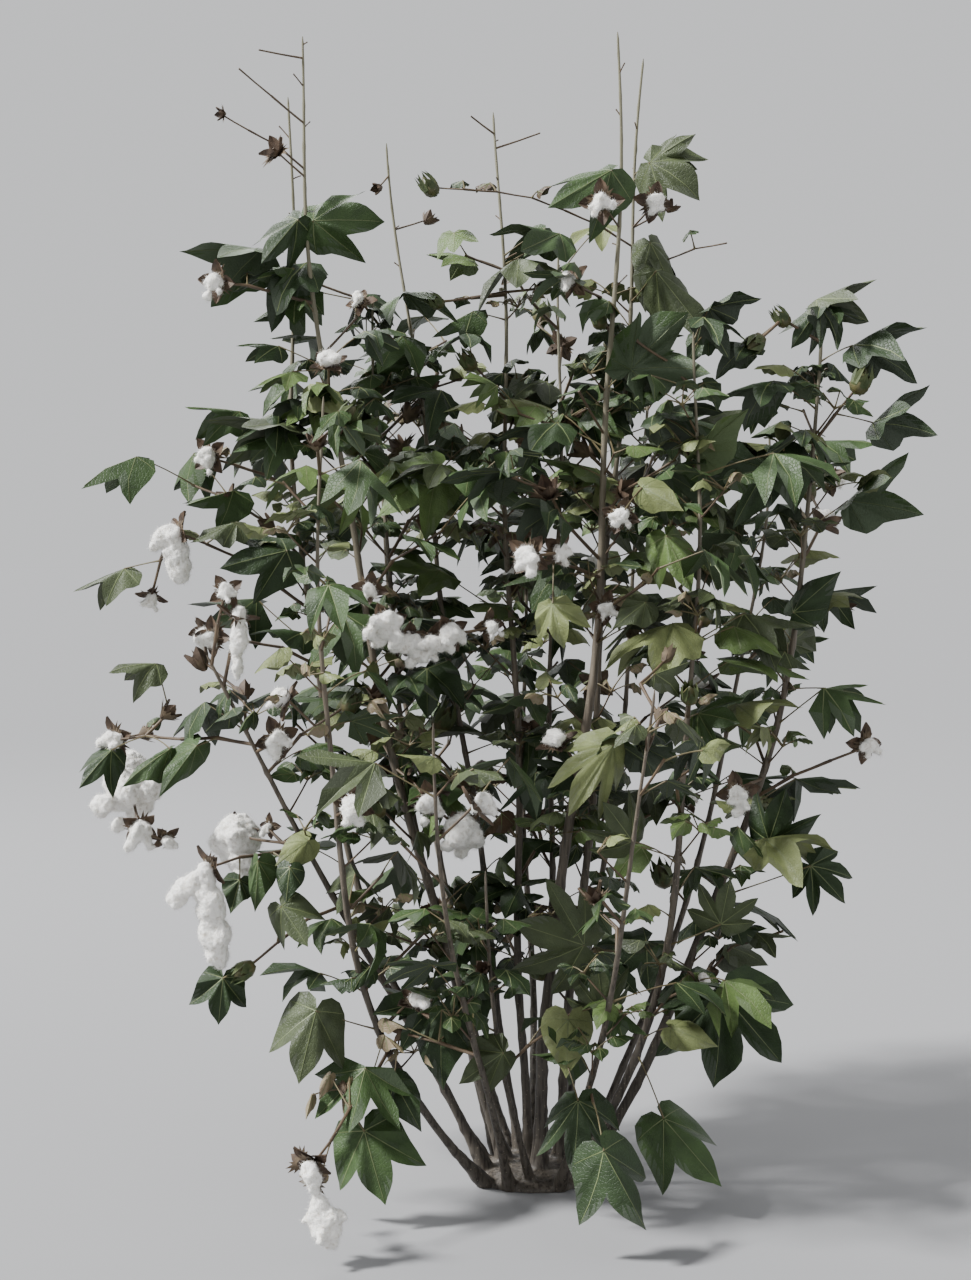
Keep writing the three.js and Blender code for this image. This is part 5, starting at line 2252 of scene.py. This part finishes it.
@dataclass
class Limbs:
    """The stems as limbs with ribs, joints and leaf scars, each from inside the crown to its tip."""

    growth: Growth
    start: float = 6
    ring_step: float = 9
    sides: int = 12
    rib: float = 0.09
    knot: float = 0.16
    knot_length: float = 5
    scar: float = 0.3
    tip: float = 0.35
    spin: float = 2
    stretch: float = 0.03
    apart: float = 9
    rib_scales: Pair = (1.3, 0.4)

    def build(self) -> dict[str, Piece]:
        """Build the stems.

        Returns:
            Each stem's piece by the stem's name.
        """
        made = {}
        for stem in STEMS:
            bag = MeshBag()
            bag.add(self.limb(stem))
            made[stem.name] = bag.piece(f"stem_{stem.name}", 60)
        return made

    def limb(self, stem: Stem) -> Shape:
        """Shape one stem's limb.

        Args:
            stem: the stem.

        Returns:
            Its shape.
        """
        steps = round((stem.tip[2] - self.start) / self.ring_step)
        heights = np.linspace(self.start, stem.tip[2], steps + 1)
        points = np.array([stem.point(height) for height in heights])
        angles = np.arange(self.sides) * math.tau / self.sides
        radii = np.array([[self.radius(stem, height, angle) for angle in angles] for height in heights])
        radii[-1] *= self.tip
        return tube(points, radii, self.sides)

    def radius(self, stem: Stem, height: float, angle: float) -> float:
        """Work out a limb's radius, with ribs, a swelling at each joint and its leaf's scar.

        Args:
            stem: the stem.
            height: the height.
            angle: the angle round it.

        Returns:
            The radius there.
        """
        round_it = [math.cos(angle) * self.spin, math.sin(angle) * self.spin]
        spot = np.array([*round_it, height * self.stretch + stem.index * self.apart])
        coarse, fine = (roughly(spot, scale) for scale in self.rib_scales)
        share = 1 + self.rib * coarse + 0.5 * self.rib * fine
        joint = round((height - self.growth.first_joint) / self.growth.joint_spacing)
        away = (height - self.growth.first_joint - joint * self.growth.joint_spacing) / self.knot_length
        near = math.exp(-away * away)
        facing = math.cos(angle - math.radians(self.growth.turn_at(stem, max(joint, 0))))
        share += near * (self.knot + self.scar * max(facing, 0) ** 4)
        return stem.radius(height) * share


@dataclass
class Twigs:
    """The twigs and fruiting branches, and the short dead spurs on the bare tips."""

    growth: Growth
    sides: int = 6
    spur_share: float = 0.62
    spur_from: float = 1010
    spur_lengths: Pair = (6, 26)
    spur_slopes: Pair = (15, 60)
    spur_radii: tuple[float, ...] = (1.3, 1.0, 0.9, 1.1)
    spur_aside: float = 60
    spur_sides: int = 5
    tip_room: float = 8
    knot: float = 0.3
    knot_narrow: float = 9

    def build(self) -> Piece:
        """Build the twigs.

        Returns:
            All of them as one joined piece.
        """
        bag = MeshBag()
        for twig in self.growth.twigs:
            shares = np.linspace(0, 1, len(twig.points))
            radii = twig.radii[0] + (twig.radii[1] - twig.radii[0]) * shares
            radii = radii * (1 + self.knot * np.exp(-((shares - 1) * self.knot_narrow) ** 2))
            bag.add(tube(twig.points, radii, self.sides))
        for spur in self.spurs():
            bag.add(spur)
        return bag.piece("twigs", 60)

    def spurs(self) -> list[Shape]:
        """Shape the stubs of shed branches near the tips.

        Returns:
            Their shapes.
        """
        made = []
        growth = self.growth
        for stem in STEMS:
            joints = math.floor((stem.tip[2] - growth.first_joint) / growth.joint_spacing)
            for joint in range(joints + 1):
                height = growth.first_joint + (joint + 0.5) * growth.joint_spacing
                keys = (stem.index, joint, Choice.SPUR)
                bare = self.spur_from < height < stem.tip[2] - self.tip_room
                if not bare or draw(*keys) > self.spur_share:
                    continue
                turn = growth.turn_at(stem, joint) + self.spur_aside
                way = heading(turn, pick(keys, Choice.TILT, *self.spur_slopes))
                end = stem.point(height) + way * pick(keys, Choice.STEP, *self.spur_lengths)
                line = curve(stem.point(height), end, 0.5, 3)
                made.append(tube(line, np.array(self.spur_radii), self.spur_sides))
        return made


@dataclass
class RootCrown:
    """The low woody stool with a flared stub under each stem, cut flat at the ground."""

    half_width: float = 86
    half_depth: float = 82
    height: float = 21
    stub_top: float = 118
    flare: float = 1.25
    flare_height: float = 88
    voxel: float = 2.2
    rough: float = 2.6
    sides: int = 14
    rings: int = 15
    tuck: float = 0.88
    ridges: float = 7.0
    knots: float = 26.0

    def build(self) -> Piece:
        """Model the stool.

        Returns:
            The piece.
        """
        bpy.ops.object.select_all(action="DESELECT")
        bpy.ops.mesh.primitive_uv_sphere_add(segments=48, ring_count=24, radius=1)
        dome = bpy.context.object
        dome.name = "crown"
        bpy.ops.transform.resize(value=(self.half_width * MM, self.half_depth * MM, self.height * MM))
        bpy.ops.object.transform_apply(location=True, rotation=True, scale=True)
        bag = MeshBag()
        for stem in STEMS:
            bag.add(self.stub(stem))
        stubs = bag.piece("stubs")
        select_only(dome)
        stubs.select_set(True)
        bpy.ops.object.join()
        merge_skin(dome, self.voxel, 3)
        raise_skin(dome, self.relief)
        self.cut(dome)
        select_only(dome)
        bpy.ops.object.shade_smooth_by_angle(angle=math.radians(70))
        return dome

    def stub(self, stem: Stem) -> Shape:
        """Shape the flared foot of one stem.

        Args:
            stem: the stem.

        Returns:
            The stub, from inside the stool up into the stem's limb.
        """
        heights = np.linspace(-self.height / 3, self.stub_top, self.rings)
        points = np.array([[*stem.point(max(height, 0))[:2], height] for height in heights])
        flare = 1 + self.flare * np.clip(1 - heights / self.flare_height, 0, None) ** 2
        tuck = np.where(heights > self.flare_height, self.tuck, 1.0)
        radii = np.array([stem.radius(height) for height in heights]) * flare * tuck
        return tube(points, radii, self.sides)

    def relief(self, place: Point) -> float:
        """Work out how far the bark's ridges and knots stand up.

        Args:
            place: a place on the stool.

        Returns:
            The height of its relief there.
        """
        ridge = roughly(place * np.array([1, 1, 0.3]), self.ridges)
        knot = roughly(place + 90, self.knots)
        return self.rough * (0.45 * ridge + 0.55 * knot)

    def cut(self, crown: Piece) -> None:
        """Cut the stool flat at the ground.

        Args:
            crown: its piece.
        """
        select_only(crown)
        bpy.ops.object.mode_set(mode="EDIT")
        bpy.ops.mesh.select_all(action="SELECT")
        bpy.ops.mesh.bisect(plane_co=(0, 0, 0.0002), plane_no=(0, 0, 1), use_fill=True, clear_inner=True)
        bpy.ops.mesh.select_all(action="SELECT")
        bpy.ops.mesh.normals_make_consistent(inside=False)
        bpy.ops.object.mode_set(mode="OBJECT")


# The studio


@dataclass(frozen=True)
class Studio:
    """The camera at the photograph's viewing angle, a pale floor and soft light."""

    camera_place: Triple = (-0.065, -2.6, 0.88)
    camera_drop: float = 3.6
    lens: float = 55.5
    sensor: float = 36.0
    floor_half: float = 30.0
    floor_colour: Colour = (0.248, 0.249, 0.255)
    air: float = 0.8
    air_colour: Colour = (0.97, 0.98, 1.0)
    key: float = 9.4
    key_width: float = 9.0
    key_way: Triple = (0.72, 0.15, -0.70)
    middle: Triple = (0, 0, 0.75)

    def build(self) -> None:
        """Set the studio up: a broad key light high on the left, a fill, a rim, and pale air."""
        self.camera()
        self.floor()
        self.lamp("fill", power=16.0, size=2.6, place=(3.2, -2.4, 1.6))
        self.lamp("rim", power=85.0, size=2.0, place=(-1.4, 2.8, 3.2))
        self.lamp("key", power=self.key, size=math.radians(self.key_width))
        world = bpy.data.worlds.new("studio_air")
        world.use_nodes = True
        air = world.node_tree.nodes["Background"]
        air.inputs["Color"].default_value = (*self.air_colour, 1.0)
        air.inputs["Strength"].default_value = self.air
        bpy.context.scene.world = world

    def camera(self) -> None:
        """Place the camera."""
        data = bpy.data.cameras.new("camera")
        data.lens = self.lens
        data.sensor_width = self.sensor
        eye = bpy.data.objects.new("camera", data)
        eye.location = self.camera_place
        eye.rotation_euler = (math.radians(90 - self.camera_drop), 0, 0)
        bpy.context.collection.objects.link(eye)
        bpy.context.scene.camera = eye

    def floor(self) -> None:
        """Lay the floor just under the plant."""
        bpy.ops.object.select_all(action="DESELECT")
        bpy.ops.mesh.primitive_plane_add(size=2 * self.floor_half, location=(0, 0, -0.0005))
        ground = bpy.context.object
        ground.name = "studio_floor"
        shader = Shader("studio_floor", {"Base Color": (*self.floor_colour, 1.0), "Roughness": 0.9})
        ground.data.materials.append(shader.material)

    def lamp(self, name: str, power: float, size: float, place: Triple | None = None) -> None:
        """Hang a soft lamp.

        Args:
            name: its name.
            power: its power.
            size: its width, or its angle in radians where it has no place.
            place: where it hangs and looks at the plant's middle, or None for the far key light.
        """
        data = bpy.data.lights.new(name, "AREA" if place else "SUN")
        data.energy = power
        setattr(data, "size" if place else "angle", size)
        lamp = bpy.data.objects.new(name, data)
        lamp.location = place or (0, 0, 0)
        way = Vector(self.middle) - Vector(place) if place else Vector(self.key_way)
        lamp.rotation_euler = way.to_track_quat("-Z", "Y").to_euler()
        bpy.context.collection.objects.link(lamp)


# The plant


@dataclass
class CottonPlant:
    """The whole plant."""

    growth: Growth = field(default_factory=Growth)

    def build(self) -> None:
        """Grow the plant, build its pieces, dress them and put them on its one body."""
        self.growth.grow()
        bark = BarkFinish().material()
        self.finish(RootCrown().build(), bark, Slot.BARK, ["root_crown"])
        limbs = Limbs(self.growth).build()
        for stem in STEMS:
            self.finish(limbs[stem.name], bark, Slot.BARK, stem.nodes())
        masses = [name for stem in STEMS for name in stem.nodes()[1:]]
        ruddy = TwigFinish("twig_bark", (0.050, 0.032, 0.020), (0.120, 0.082, 0.046)).material()
        self.finish(Twigs(self.growth).build(), ruddy, Slot.BARK, masses)
        for piece, material, slot in Foliage(self.growth.leaves).build() + Bolls(self.growth.fruits).build():
            self.finish(piece, material, slot, masses)

    def finish(self, piece: Piece, material: Material, slot: Slot, nodes: list[str]) -> None:
        """Dress a piece, put it on the root body and hide the solids that it stands for.

        Args:
            piece: the piece.
            material: its finish.
            slot: not used; the slot that the finish belongs to.
            nodes: the solids that it stands for.
        """
        piece.data.materials.clear()
        piece.data.materials.append(material)
        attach(piece, "root")
        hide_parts(*nodes)
        triangles = sum(len(face.vertices) - 2 for face in piece.data.polygons)
        LOG.info("%s: %d triangles", piece.name, triangles)


def main() -> None:
    """Set up the studio, build the plant and note how large it is."""
    logging.basicConfig(level=logging.INFO, format="%(message)s")
    Studio().build()
    plant = CottonPlant()
    plant.build()
    growth = plant.growth
    LOG.info("%d leaves, %d twigs, %d fruit", len(growth.leaves), len(growth.twigs), len(growth.fruits))


if __name__ == "__main__":
    main()
